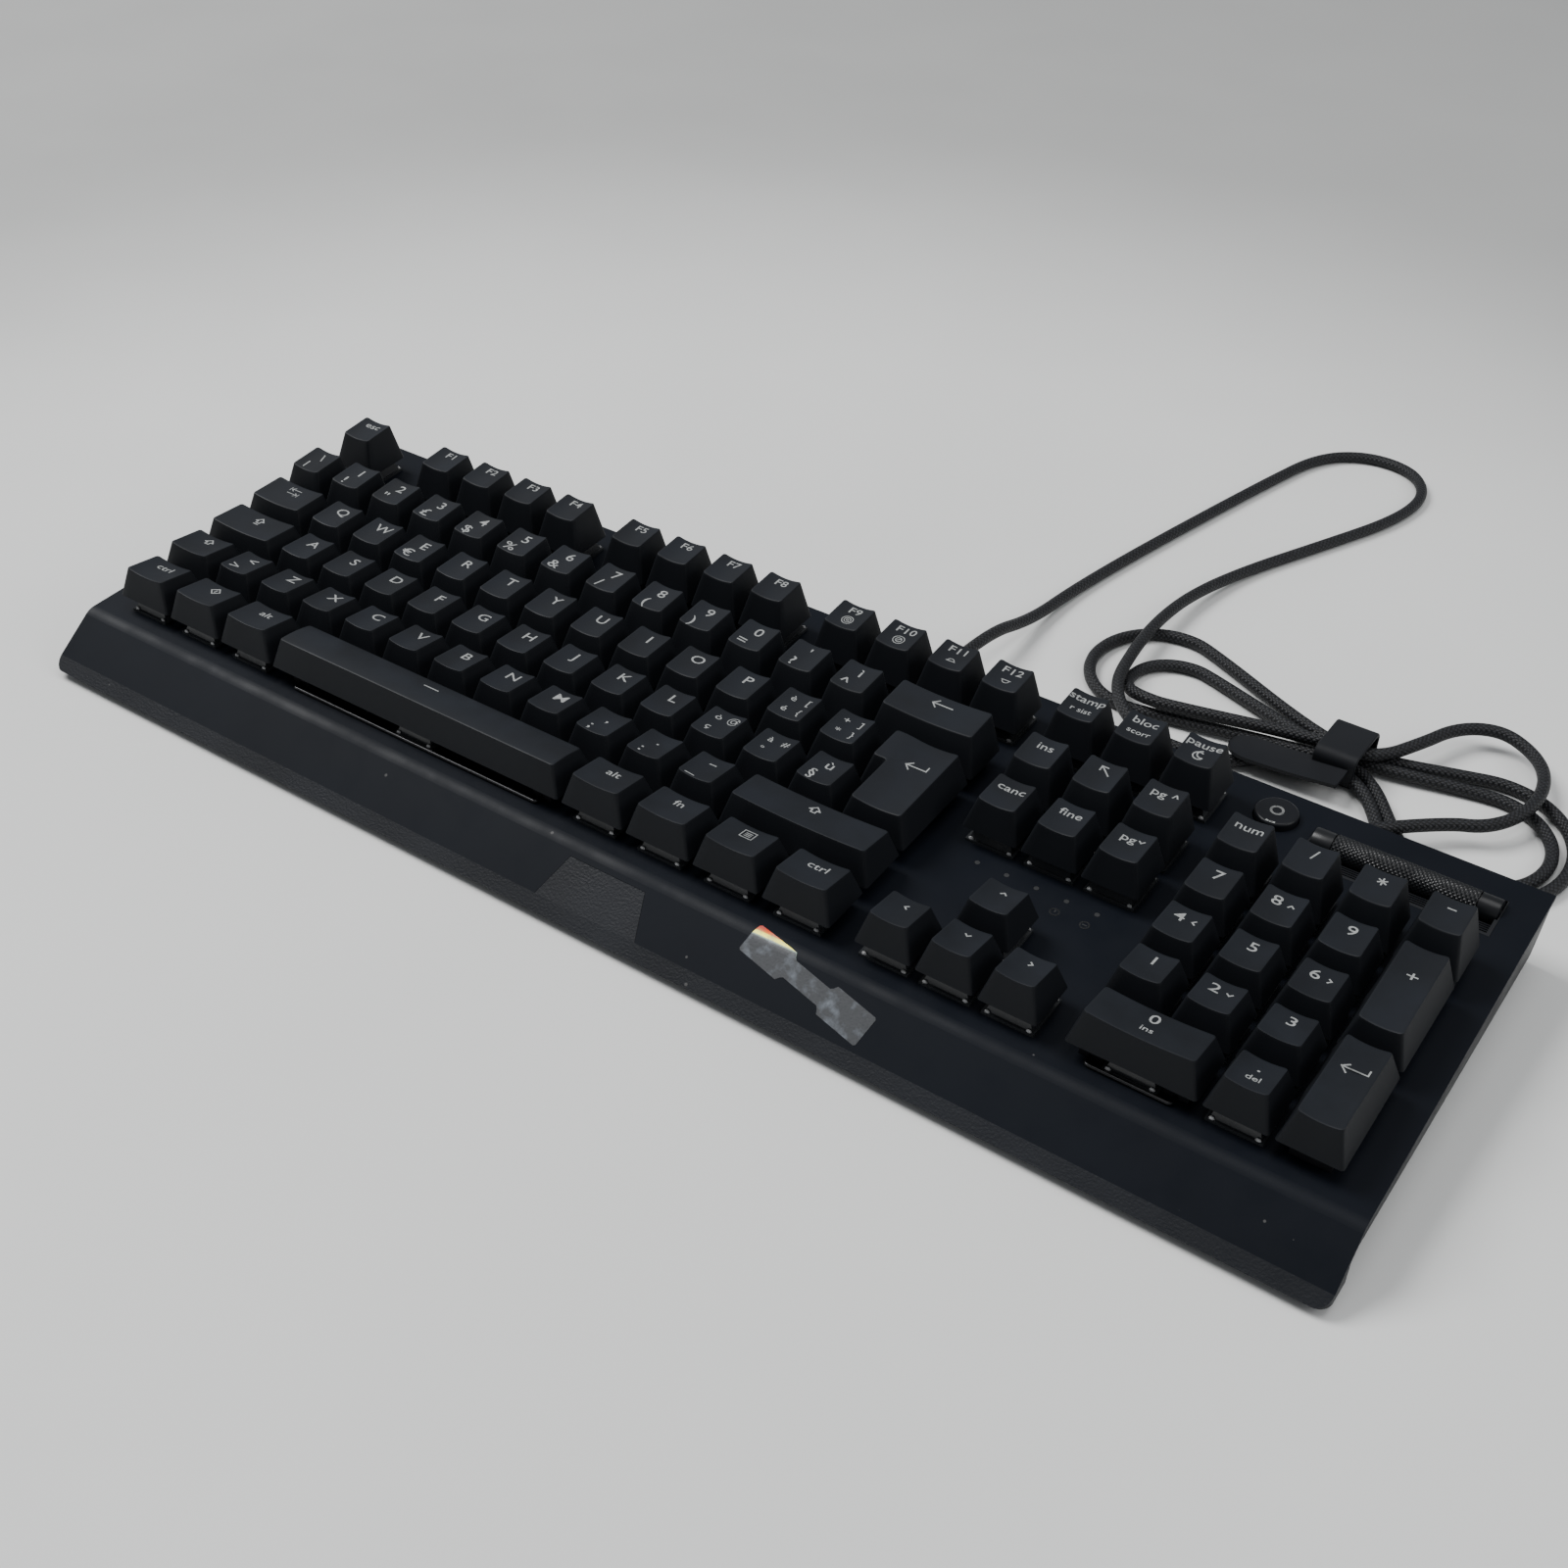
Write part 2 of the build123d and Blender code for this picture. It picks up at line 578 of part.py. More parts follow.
save(roller_cradle, "roller_cradle")

with BuildPart() as volume_roller:
    with BuildSketch(roller_axis):
        Circle(ROLLER_R)
    extrude(amount=KNURL_W / 2, both=True)
    with BuildSketch(roller_axis):
        Circle(ROLLER_R - 0.2)
    extrude(amount=roller_w / 2, both=True)
    with BuildSketch(roller_axis):
        Circle(AXLE_R)
    extrude(amount=cradle_w / 2 - 0.6, both=True)
save(volume_roller, "volume_roller")

# ---------------------------------------------------------------- tilt feet and their hinge pins
BARREL_R = 2.1


def tilt_foot(x, name):
    """A flap that folds flat into its bay, hinged at its rear edge, with a rubber-tipped free end."""
    pivot = Plane(origin=(x, FOOT_PIVOT_Y, FOOT_PIVOT_Z), x_dir=(0, 1, 0), z_dir=(1, 0, 0))
    with BuildPart() as foot:
        with BuildSketch(pivot):
            Circle(BARREL_R)
            with Locations((-FOOT_L / 2, 0)):
                Rectangle(FOOT_L, 2 * BARREL_R)
            Circle(FOOT_PIN_R + 0.05, mode=Mode.SUBTRACT)
        extrude(amount=FOOT_W / 2, both=True)
        free_end = foot.faces().sort_by(Axis.Y)[0]
        fillet(free_end.edges().filter_by(Axis.X), 1.2)
        with BuildSketch(Plane(origin=(x, FOOT_PIVOT_Y - FOOT_L / 2 - 2, FOOT_PIVOT_Z - BARREL_R))):
            RectangleRounded(FOOT_W - 16, 7, 2)
        extrude(amount=1.2, mode=Mode.SUBTRACT)
    save(foot, name)


tilt_foot(-FOOT_X, "left_foot")
tilt_foot(FOOT_X, "right_foot")

with BuildPart() as foot_pins:
    for x in (-FOOT_X, FOOT_X):
        with BuildSketch(Plane(origin=(x, FOOT_PIVOT_Y, FOOT_PIVOT_Z), x_dir=(0, 1, 0), z_dir=(1, 0, 0))):
            Circle(FOOT_PIN_R)
        extrude(amount=FOOT_W / 2 + 3, both=True)
save(foot_pins, "foot_pins")

# ---------------------------------------------------------------- keycaps with their switch stems
CROSS_L, CROSS_T, CROSS_FIT = 4.1, 1.25, 0.04
BOSS_BELOW_TOP = 1.6  # the boss ends inside the roof, under the dish

def boss(height):
    """Round boss inside a keycap, with its cross socket, up to the given height above the plate."""
    with BuildPart() as post:
        with BuildSketch(Plane.XY.offset(SWITCH_TOP + 0.1)):
            Circle(BOSS_R)
            Rectangle(CROSS_L + CROSS_FIT, CROSS_T + CROSS_FIT, mode=Mode.SUBTRACT)
            Rectangle(CROSS_T + CROSS_FIT, CROSS_L + CROSS_FIT, mode=Mode.SUBTRACT)
        extrude(amount=STEM_TOP - SWITCH_TOP)
        with BuildSketch(Plane.XY.offset(STEM_TOP + 0.1)):
            Circle(BOSS_R)
        extrude(amount=height - STEM_TOP - 0.1)
    return post.part


def stem(slider_x, slider_y):
    """Sliding stem of a switch or stabiliser, with its cross on top."""
    with BuildPart() as slider:
        with BuildSketch(Plane.XY.offset(SLIDER_LOW)):
            Rectangle(slider_x, slider_y)
        extrude(amount=SWITCH_TOP - SLIDER_LOW)
        with BuildSketch(Plane.XY.offset(SWITCH_TOP)):
            Rectangle(CROSS_L, CROSS_T)
            Rectangle(CROSS_T, CROSS_L)
        extrude(amount=STEM_TOP - SWITCH_TOP)
    return slider.part


switch_stem = stem(SLIDER_X, SLIDER_Y)
stabiliser_stem = stem(STAB_SLIDER, STAB_SLIDER)


def rectangle_outline(width, front_y, back_y, inset):
    """Corners of a plain keycap's outline."""
    x = width / 2 - inset
    return [(-x, front_y), (x, front_y), (x, back_y), (-x, back_y)]


def enter_outline(front_y, back_y, inset):
    """Corners of the stepped Enter keycap, whose rear part reaches further left."""
    right = left_edge(ENTER_RIGHT) - enter_centre[0] - inset
    left_low = left_edge(ENTER_LEFT_LOW) - enter_centre[0] + inset
    left_high = left_edge(ENTER_LEFT_HIGH) - enter_centre[0] + inset
    return [
        (left_low, front_y),
        (right, front_y),
        (right, back_y),
        (left_high, back_y),
        (left_high, inset),
        (left_low, inset),
    ]


def keycap(outline, span, front_row, back_row, boss_places, dished=True):
    """Hollow keycap, drawn about the centre of its cell: tapered skirt, sloping dished top, bosses.

    outline(front_y, back_y, inset) gives the corners of a horizontal section."""
    shift = (span - 1) * U / 2
    top_front = (PROFILE[front_row][2] - shift, TRAVEL_GAP + PROFILE[front_row][0])
    top_back = (PROFILE[back_row][3] + shift, TRAVEL_GAP + PROFILE[back_row][1])
    slope = math.atan2(top_back[1] - top_front[1], top_back[0] - top_front[0])
    half_length = math.dist(top_front, top_back) / 2
    middle = Vector(0, (top_front[0] + top_back[0]) / 2, (top_front[1] + top_back[1]) / 2)
    top = Plane(origin=middle, x_dir=(1, 0, 0), z_dir=(0, -math.sin(slope), math.cos(slope)))
    skirt_y = span * U / 2 - SKIRT_INSET
    with BuildPart() as cap:
        with BuildSketch(Plane.XY.offset(TRAVEL_GAP)):
            Polygon(*outline(-skirt_y, skirt_y, SKIRT_INSET), align=None)
        with BuildSketch(top):
            Polygon(*outline(-half_length, half_length, TOP_INSET), align=None)
        loft(ruled=True)
        if dished:
            half_width = max(x for x, _ in outline(0, 1, TOP_INSET))
            dish_r = (half_width**2 + DISH_DEPTH**2) / (2 * DISH_DEPTH)
            with BuildSketch(Plane(origin=middle, x_dir=(1, 0, 0), z_dir=top.y_dir)):
                with Locations((0, DISH_DEPTH - dish_r)):
                    Circle(dish_r)
            extrude(amount=half_length + U, both=True, mode=Mode.SUBTRACT)
        with BuildSketch(Plane.XY.offset(TRAVEL_GAP)):
            hollow_y = skirt_y - CAP_WALL
            Polygon(*outline(-hollow_y, hollow_y, SKIRT_INSET + CAP_WALL), align=None)
        with BuildSketch(top.offset(-CAP_ROOF)):
            Polygon(*outline(CAP_WALL - half_length, half_length - CAP_WALL, TOP_INSET + CAP_WALL), align=None)
        loft(ruled=True, mode=Mode.SUBTRACT)
        for x, y in boss_places:
            with Locations((x, y, 0)):
                add(boss(middle.Z + y * math.tan(slope) - BOSS_BELOW_TOP))
    return cap.part


@functools.lru_cache
def plain_keycap(row, width, span):
    """Keycap of a rectangular key; caps of one row and size are the same moulding."""
    def outline(front_y, back_y, inset):
        return rectangle_outline(width * U, front_y, back_y, inset)

    back_row = chr(ord(row) + span - 1)
    bosses = [(0, 0)] + stabiliser_offsets((row, 0, width, span))
    return keycap(outline, span, row, back_row, bosses, dished=width < 6)


for name, keys in KEYS.items():
    with BuildPart() as key_group:
        for key in keys:
            row, _, width, span = key
            with Locations(*spots([centre_of(key)])):
                add(plain_keycap(row, width, span))
                add(switch_stem)
            if stabiliser_offsets(key):
                cx, cy = centre_of(key)
                with Locations(*spots([(cx + dx, cy + dy) for dx, dy in stabiliser_offsets(key)])):
                    add(stabiliser_stem)
    save(key_group, name)

enter_offsets = [(0, -STABILISER_REACH[2]), (0, STABILISER_REACH[2])]
with BuildPart() as enter_key:
    with Locations(*spots([enter_centre])):
        add(keycap(enter_outline, 2, "C", "D", [(0, 0)] + enter_offsets))
save(enter_key, "enter_key")

with BuildPart() as enter_key_stems:
    with Locations(*spots([enter_centre])):
        add(switch_stem)
    with Locations(*spots([(enter_centre[0] + dx, enter_centre[1] + dy) for dx, dy in enter_offsets])):
        add(stabiliser_stem)
save(enter_key_stems, "enter_key_stems")

# ---------------------------------------------------------------- cable gland
gland = Plane(origin=(GLAND_X, HALF_DEPTH, GLAND_Z), x_dir=(1, 0, 0), z_dir=(0, 1, 0))
BOOT_L = 16.0

with BuildPart() as cable_gland:
    with BuildSketch(gland.offset(-WALL - 2)):
        Circle(GLAND_HOLE_R + 1.4)
    extrude(amount=2)
    with BuildSketch(gland.offset(-WALL)):
        Circle(GLAND_HOLE_R - 0.05)
    extrude(amount=WALL)
    with BuildSketch(gland):
        Circle(GLAND_HOLE_R + 0.9)
    extrude(amount=1.6)
    with BuildSketch(gland.offset(1.6)):
        Circle(GLAND_HOLE_R - 0.3)
    with BuildSketch(gland.offset(BOOT_L)):
        Circle(CORD_D / 2 + 0.5)
    loft()
save(cable_gland, "cable_gland")

# ---------------------------------------------------------------- cable: free run, tied hank, plug
cord_r = CORD_D / 2
LAID = cord_r + 0.05  # height of the cord's middle where it lies on the table
OVER = LAID + CORD_D + 0.4  # where it lies over another turn
exit_y = HALF_DEPTH + BOOT_L
CORD_ROUTE = [
    (GLAND_X, exit_y, GLAND_Z),
    (GLAND_X, 118, GLAND_Z),
    (24.5, 146, 4.5),
    (25.5, 176, LAID),
    (32, 214, LAID),
    (40.5, 256, LAID),
    (49, 296, LAID),
    (57, 329, LAID),
    (73, 343, LAID),
    (93, 341, LAID),
    (104, 324, LAID),
    (101, 298, LAID),
    (86, 263, LAID),
    (70, 227, LAID),
    (63, 196, LAID + 2.6),
    (62, 170, OVER),
    (63.5, 148, OVER),
    (68, 122, OVER),
    (86, 105, OVER - 1.5),
    (113, 110, LAID + 0.5),
]


def bend_radii(route):
    """Radius of each corner: 0.45 of its shorter run, divided by the tangent of half its turn."""
    points = [Vector(*p) for p in route]
    radii = []
    for before, corner, after in zip(points, points[1:], points[2:]):
        arriving, leaving = corner - before, after - corner
        half_turn = math.radians(arriving.get_angle(leaving)) / 2
        radii.append(0.45 * min(arriving.length, leaving.length) / math.tan(half_turn))
    return radii


cord_radii = bend_radii(CORD_ROUTE)
with BuildPart() as cable_run:
    with BuildLine() as cord_path:
        FilletPolyline(*CORD_ROUTE, radius=cord_radii)
    with BuildSketch(Plane(origin=cord_path.line @ 0, z_dir=cord_path.line % 0)):
        Circle(cord_r)
    sweep()
save(cable_run, "cable_run")
cord_length = cord_path.wires()[0].length
print("cord radii", [round(r) for r in cord_radii])
print("cord length", round(cord_length), "volume share", cable_run.part.volume / (math.pi * cord_r**2 * cord_length))

HANK_H, LEFT_H, HANK_GAP = 8.6, 4.5, 0.05
TIE_X, TIE_Y, TIE_L = 145.0, 134.0, 14.0
TIE_T, NECK_W, NECK_H = 1.4, 19.0, 9.4
TAIL_L, TAIL_W, TAIL_Z = 38.0, 15.0, 6.2
PLUG_Y, PLUG_Z, PLUG_BODY_X, PLUG_BODY_L = 93.0, 4.5, 92.0, 32.0


def loops(*circles):
    """Outline of a spread of loops: the hull of circles given as x, y and radius."""
    with BuildSketch() as outline:
        for x, y, r in circles:
            with Locations((x, y)):
                Circle(r)
        make_hull()
    return outline.sketch


left_loops = loops((63, 158, 13), (72, 134, 12), (130, 136, 8))
entry_turn = loops((115, 111, 2.5), (133, 128, 4))
right_loops = loops((160, 133, 8), (180, 155, 23), (199, 118, 24), (178, 100, 13))
last_stretch = loops((175, 94, 5), (PLUG_BODY_X + PLUG_BODY_L + 17, PLUG_Y, 3))

with BuildPart() as cable_hank:
    with BuildSketch(Plane.XY.offset(HANK_GAP)):
        add(left_loops)
        add(entry_turn)
    extrude(amount=LEFT_H)
    with BuildSketch(Plane.XY.offset(HANK_GAP)):
        add(right_loops)
        add(last_stretch)
        with Locations((TIE_X, TIE_Y)):
            Rectangle(TIE_L + 18, 16)
    extrude(amount=HANK_H)
    with BuildSketch():
        with Locations((TIE_X, TIE_Y)):
            Rectangle(TIE_L + 0.2, 30)
    extrude(amount=TIE_T + 0.1, mode=Mode.SUBTRACT)
save(cable_hank, "cable_hank")

with BuildPart() as cable_tie:
    with BuildSketch(Plane.YZ.offset(TIE_X - TIE_L / 2)):
        with Locations((TIE_Y, NECK_H / 2 + TIE_T + HANK_GAP)):
            RectangleRounded(NECK_W + 2 * TIE_T, NECK_H + 2 * TIE_T, 3)
            RectangleRounded(NECK_W, NECK_H, 1.6, mode=Mode.SUBTRACT)
    extrude(amount=TIE_L)
    with BuildSketch(Plane.XY.offset(TAIL_Z)):
        with Locations((TIE_X - 12, TIE_Y - NECK_W / 2 - TIE_T - TAIL_W / 3)):
            RectangleRounded(TAIL_L, TAIL_W, 6)
    extrude(amount=TIE_T)
save(cable_tie, "cable_tie")

plug = Plane(origin=(PLUG_BODY_X, PLUG_Y, PLUG_Z), x_dir=(0, 1, 0), z_dir=(1, 0, 0))
with BuildPart() as usb_plug:
    with BuildSketch(plug):
        RectangleRounded(16, 8.4, 2.5)
    extrude(amount=PLUG_BODY_L)
    with BuildSketch(plug.offset(PLUG_BODY_L)):
        Circle(3.6)
    with BuildSketch(plug.offset(PLUG_BODY_L + 14)):
        Circle(2.6)
    loft()
    chamfer(usb_plug.faces().sort_by(Axis.X)[0].edges(), 0.6)
save(usb_plug, "usb_plug")

with BuildPart() as usb_shell:
    with BuildSketch(plug):
        RectangleRounded(12.0, 4.5, 0.5)
        RectangleRounded(11.4, 3.9, 0.3, mode=Mode.SUBTRACT)
    extrude(amount=-12)
    with BuildSketch(plug):
        with Locations((0, -0.95)):
            Rectangle(11.0, 1.8)
    extrude(amount=-11)
save(usb_shell, "usb_shell")
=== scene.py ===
"""Looks of a full-size mechanical keyboard: keycaps with their legends, roller, cable, trim and finishes.

All shapes are worked out in millimetres, most of them in the frame of the sloping key plate (x along the
keyboard, y up the slope from the front edge of the bottom key row, z square to the plate), and are turned
into metres of the row frame when their mesh is made.
"""

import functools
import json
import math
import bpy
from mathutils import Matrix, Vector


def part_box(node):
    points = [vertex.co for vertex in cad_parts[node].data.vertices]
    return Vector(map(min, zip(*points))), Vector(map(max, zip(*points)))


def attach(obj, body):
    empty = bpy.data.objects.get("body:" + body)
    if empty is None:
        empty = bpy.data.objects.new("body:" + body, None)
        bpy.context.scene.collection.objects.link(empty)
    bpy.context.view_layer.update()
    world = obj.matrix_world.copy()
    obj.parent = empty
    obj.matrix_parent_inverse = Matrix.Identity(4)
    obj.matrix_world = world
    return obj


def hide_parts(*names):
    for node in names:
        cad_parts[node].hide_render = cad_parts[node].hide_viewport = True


bl_info = {
    "name": "Mechanical Keyboard Finish",
    "version": (1, 0, 0),
    "blender": (4, 5, 0),
    "location": "View3D > Sidebar > Keyboard",
    "description": "Builds the keycaps, legends, roller, cable and finishes of a full-size keyboard",
    "category": "Object",
}

import bpy
import numpy as np
from bpy.props import FloatProperty, FloatVectorProperty, PointerProperty

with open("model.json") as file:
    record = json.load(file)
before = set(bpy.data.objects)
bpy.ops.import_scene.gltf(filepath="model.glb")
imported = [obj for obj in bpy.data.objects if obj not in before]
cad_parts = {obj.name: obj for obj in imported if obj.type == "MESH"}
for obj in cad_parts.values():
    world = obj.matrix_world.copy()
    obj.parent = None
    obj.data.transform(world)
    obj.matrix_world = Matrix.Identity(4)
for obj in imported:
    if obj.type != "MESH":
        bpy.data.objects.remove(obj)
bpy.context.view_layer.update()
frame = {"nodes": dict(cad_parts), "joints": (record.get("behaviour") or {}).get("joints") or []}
MM = 0.001

# ---------------------------------------------------------------- driving dimensions (mm)
U = 19.05  # key pitch
CLUSTER_GAP, FUNCTION_GAP = 6.6, 7.26
BACK_Y = 6 * U + FUNCTION_GAP + 9.7  # rear edge of the plate
BEND_Y, BEND_R = -6.2, 7.0  # where the plate bends down, and its outer radius
SEAM_Y, SEAM_Z = -21.1, -10.2  # lower end of the apron
PLATE_T = 1.5
SKIRT_Z, SKIRT_INSET, TOP_INSET = 5.3, 0.66, 3.58
CAP_WALL, CAP_ROOF = 1.3, 2.2
SWITCH_TOP, STEM_TOP = 6.6, 10.2
LEGEND_T = 0.1
FIELD = 22 * U + 2 * CLUSTER_GAP
NAV_X, PAD_X = 15 * U + CLUSTER_GAP, 18 * U + 2 * CLUSTER_GAP
# Top face of each row's keycaps: height of its front and back edge over the skirt, and their places.
PROFILE = {
    "A": (10.9, 8.6, -6.25, 7.0),
    "B": (10.8, 8.8, -5.95, 7.2),
    "C": (10.2, 9.1, -6.2, 7.6),
    "D": (10.6, 10.5, -5.95, 7.6),
    "E": (12.7, 13.3, -5.1, 7.8),
    "F": (12.8, 13.5, -5.4, 7.0),
}
ENTER_LEFT_LOW, ENTER_LEFT_HIGH, ENTER_RIGHT = 13.75, 13.5, 15  # stepped Enter key, in key units
STABILISER_REACH = {2: 11.94, 2.75: 11.94, 6.25: 50.0}


def run_of(row, first, count, width=1.0):
    return [(row, first + i * width, width, 1) for i in range(count)]


# Keys of each body (row, left edge in units, width in units, rows spanned) and their legends: keys are
# parted by spaces, the legends of one key by bars, ~ is a space, and @ names a drawn symbol.
KEYS = {
    "esc_key": ([("F", 0, 1, 1)], "esc"),
    "function_keys": (
        run_of("F", 2, 4) + run_of("F", 6.5, 4) + run_of("F", 11, 4),
        "F1 F2 F3 F4 F5 F6 F7 F8 F9|@record F10|@target F11|@dim F12|@bright",
    ),
    "system_keys": (run_of("F", 15.25, 3), "stamp|r~sist bloc|scorr pause|@moon"),
    "number_row_keys": (run_of("E", 0, 13), "\\|@bar 1|! 2|\" 3|£ 4|$ 5|% 6|& 7|/ 8|( 9|) 0|= '|? ì|^"),
    "backspace_key": ([("E", 13, 2, 1)], "@back"),
    "upper_letter_keys": (
        [("D", 0, 1.5, 1)] + run_of("D", 1.5, 12),
        "@tab Q W E|€ R T Y U I O P è|é|[|{ +|*|]|}",
    ),
    "home_letter_keys": (
        [("C", 0, 1.75, 1)] + run_of("C", 1.75, 12),
        "@caps A S D F G H J K L ò|ç|@at à|°|# ù|§",
    ),
    "left_shift_key": ([("B", 0, 1.25, 1)], "@shift"),
    "lower_letter_keys": (run_of("B", 1.25, 11), "<|> Z X C V B N M ,|; .|: @minus|_"),
    "right_shift_key": ([("B", 12.25, 2.75, 1)], "@shift"),
    "modifier_keys": (
        run_of("A", 0, 3, 1.25) + run_of("A", 10, 4, 1.25),
        "ctrl @spark alt alt fn @menu ctrl",
    ),
    "space_bar": ([("A", 3.75, 6.25, 1)], "@dash"),
    "navigation_keys": (run_of("E", 15.25, 3) + run_of("D", 15.25, 3), "ins @home pg~^ canc fine pg~@down"),
    "arrow_up_key": ([("B", 16.25, 1, 1)], "@up"),
    "arrow_left_key": ([("A", 15.25, 1, 1)], "@left"),
    "arrow_down_key": ([("A", 16.25, 1, 1)], "@down"),
    "arrow_right_key": ([("A", 17.25, 1, 1)], "@right"),
    "keypad_num_lock": ([("E", 18.5, 1, 1)], "num"),
    "keypad_divide": ([("E", 19.5, 1, 1)], "/"),
    "keypad_multiply": ([("E", 20.5, 1, 1)], "@star"),
    "keypad_minus": ([("E", 21.5, 1, 1)], "@minus"),
    "keypad_7": ([("D", 18.5, 1, 1)], "7"),
    "keypad_8": ([("D", 19.5, 1, 1)], "8||@up"),
    "keypad_9": ([("D", 20.5, 1, 1)], "9"),
    "keypad_plus": ([("C", 21.5, 1, 2)], "+"),
    "keypad_4": ([("C", 18.5, 1, 1)], "4||@left"),
    "keypad_5": ([("C", 19.5, 1, 1)], "5"),
    "keypad_6": ([("C", 20.5, 1, 1)], "6||@right"),
    "keypad_1": ([("B", 18.5, 1, 1)], "1"),
    "keypad_2": ([("B", 19.5, 1, 1)], "2||@down"),
    "keypad_3": ([("B", 20.5, 1, 1)], "3"),
    "keypad_enter": ([("A", 21.5, 1, 2)], "@enter"),
    "keypad_0": ([("A", 18.5, 2, 1)], "0|ins"),
    "keypad_dot": ([("A", 20.5, 1, 1)], ".|del"),
    "enter_key": ([("C", ENTER_LEFT_LOW, ENTER_RIGHT - ENTER_LEFT_LOW, 2)], "@enter"),
}

# ---------------------------------------------------------------- the deck's frame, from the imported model
press_axis = next(j["axis"] for j in frame["joints"] if j["name"] == "space_bar_press")
DECK_UP = -np.array(press_axis) / np.linalg.norm(press_axis)
DECK_BACK = np.array([0, DECK_UP[2], -DECK_UP[1]])
plate_high = np.array(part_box("top_plate")[1]) / MM
DECK_ORIGIN = np.array([0, plate_high[1] + PLATE_T * DECK_UP[1], plate_high[2]]) - BACK_Y * DECK_BACK


def on_deck(points):
    """Row-frame place of deck points: origin + x·X + y·(up the slope) + z·(square to the plate)."""
    x, y, z = np.split(np.asarray(points, float), 3, axis=-1)
    return DECK_ORIGIN + x * [1, 0, 0] + y * DECK_BACK + z * DECK_UP


def left_edge(units):
    """X on the deck of a key edge, counted in key units from the left, gaps included."""
    if units <= 15:
        return units * U - FIELD / 2
    if units < 18.3:
        return NAV_X + (units - 15.25) * U - FIELD / 2
    return PAD_X + (units - 18.5) * U - FIELD / 2


def row_front(row):
    return "ABCDEF".index(row) * U + (FUNCTION_GAP if row == "F" else 0)


def centre_of(key):
    row, first, width, span = key
    return np.array([left_edge(first) + width * U / 2, row_front(row) + span * U / 2, 0])


# ---------------------------------------------------------------- surfaces on a grid
def grid_faces(rows, columns, wrap_rows=False):
    """Quads of a grid of points whose columns close on themselves; rows may close as well."""
    r, c = np.meshgrid(np.arange(rows if wrap_rows else rows - 1), np.arange(columns), indexing="ij")
    below, beside = (r + 1) % rows, (c + 1) % columns
    quads = [r * columns + c, r * columns + beside, below * columns + beside, below * columns + c]
    return np.stack(quads, -1).reshape(-1, 4)


def facing_out(points, quads, fans, paint=0):
    """A closed skin turned right side out: its volume, summed over its triangles, is made positive."""
    thirds = np.vstack([fans, quads[:, :3], quads[:, [0, 2, 3]]])
    a, b, c = points[thirds[:, 0]], points[thirds[:, 1]], points[thirds[:, 2]]
    if np.einsum("ij,ij->", a, np.cross(b, c)) < 0:
        quads, fans = quads[:, ::-1], fans[:, ::-1]
    return {"points": points, "faces": [quads, fans], "paint": paint}


def shell(rings, paint=0):
    """Closed skin over a stack of rings, shape (rings, points, 3): quads between neighbouring rings, and a
    fan of triangles from the middle of the first and of the last ring."""
    rings = np.asarray(rings, float)
    count, n = rings.shape[:2]
    points = np.vstack([rings.reshape(-1, 3), rings[[0, -1]].mean(1)])
    i, j = np.arange(n), (np.arange(n) + 1) % n
    first = np.stack([j, i, np.full(n, count * n)], -1)
    last = np.stack([i + (count - 1) * n, j + (count - 1) * n, np.full(n, count * n + 1)], -1)
    return facing_out(points, grid_faces(count, n), np.vstack([first, last]), paint)


def hoop(rings, paint=0):
    """Closed skin over rings that meet end to end, like a belt or a tyre."""
    rings = np.asarray(rings, float)
    faces = grid_faces(*rings.shape[:2], wrap_rows=True)
    return facing_out(rings.reshape(-1, 3), faces, np.empty((0, 3), int), paint)


def slab_between(upper, lower, paint=0):
    """Closed plate between two grids of the same shape: each ring runs over the one, back under the other."""
    return shell(np.concatenate([upper, lower[:, ::-1]], 1), paint)


def revolved(stations, steps, paint=0):
    """Rings about the x axis from (x, radius) stations: point = (x, r·cos a, r·sin a)."""
    x, r = np.asarray(stations, float).T
    a = np.linspace(0, 2 * np.pi, steps, endpoint=False)
    rings = np.stack(np.broadcast_arrays(x[:, None], r[:, None] * np.cos(a), r[:, None] * np.sin(a)), -1)
    return shell(rings, paint)


def rounded_outline(corners, radius, side_steps=1, corner_steps=3):
    """Closed outline with round right-angled corners, each an arc: centre − out·r·cos t + into·r·sin t, where
    into and out are the directions before and after the corner; straight sides are cut into equal steps."""
    corners = np.asarray(corners, float)
    ahead = np.roll(corners, -1, 0) - corners
    out = ahead / np.linalg.norm(ahead, axis=1, keepdims=True)
    into = np.roll(out, 1, 0)
    centre = (corners - radius * into + radius * out)[:, None]
    t = np.linspace(0, np.pi / 2, corner_steps + 1)[:, None]
    arcs = centre - radius * out[:, None] * np.cos(t) + radius * into[:, None] * np.sin(t)
    start, stop = arcs[:, -1:], np.roll(arcs[:, :1], -1, 0)
    share = np.linspace(0, 1, side_steps + 1)[1:-1][:, None]
    return np.concatenate([arcs, start + (stop - start) * share], 1).reshape(-1, 2)


def at_height(outline, z):
    return np.column_stack([outline, np.full(len(outline), z)])


def prism(outline, levels, paint=0):
    """Upright solid over a flat outline: a ring of it at each level, given as height and scale."""
    outline = np.asarray(outline, float)
    return shell([at_height(outline * scale, z) for z, scale in levels], paint)


def rectangle(width, depth):
    x, y = width / 2, depth / 2
    return [(-x, -y), (x, -y), (x, y), (-x, y)]


def moved(part, place):
    """The same part with its points changed by a function."""
    return {**part, "points": place(part["points"])}


def placed(part, *by):
    """The same part moved on the deck by x, y and z, and turned into the row frame."""
    return moved(part, lambda points: on_deck(points + by))


def shifted(part, *by):
    """The same part moved by x, y and z."""
    return moved(part, lambda points: points + by)


def node_box(name):
    """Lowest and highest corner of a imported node, in millimetres."""
    return [np.array(corner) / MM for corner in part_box(name)]


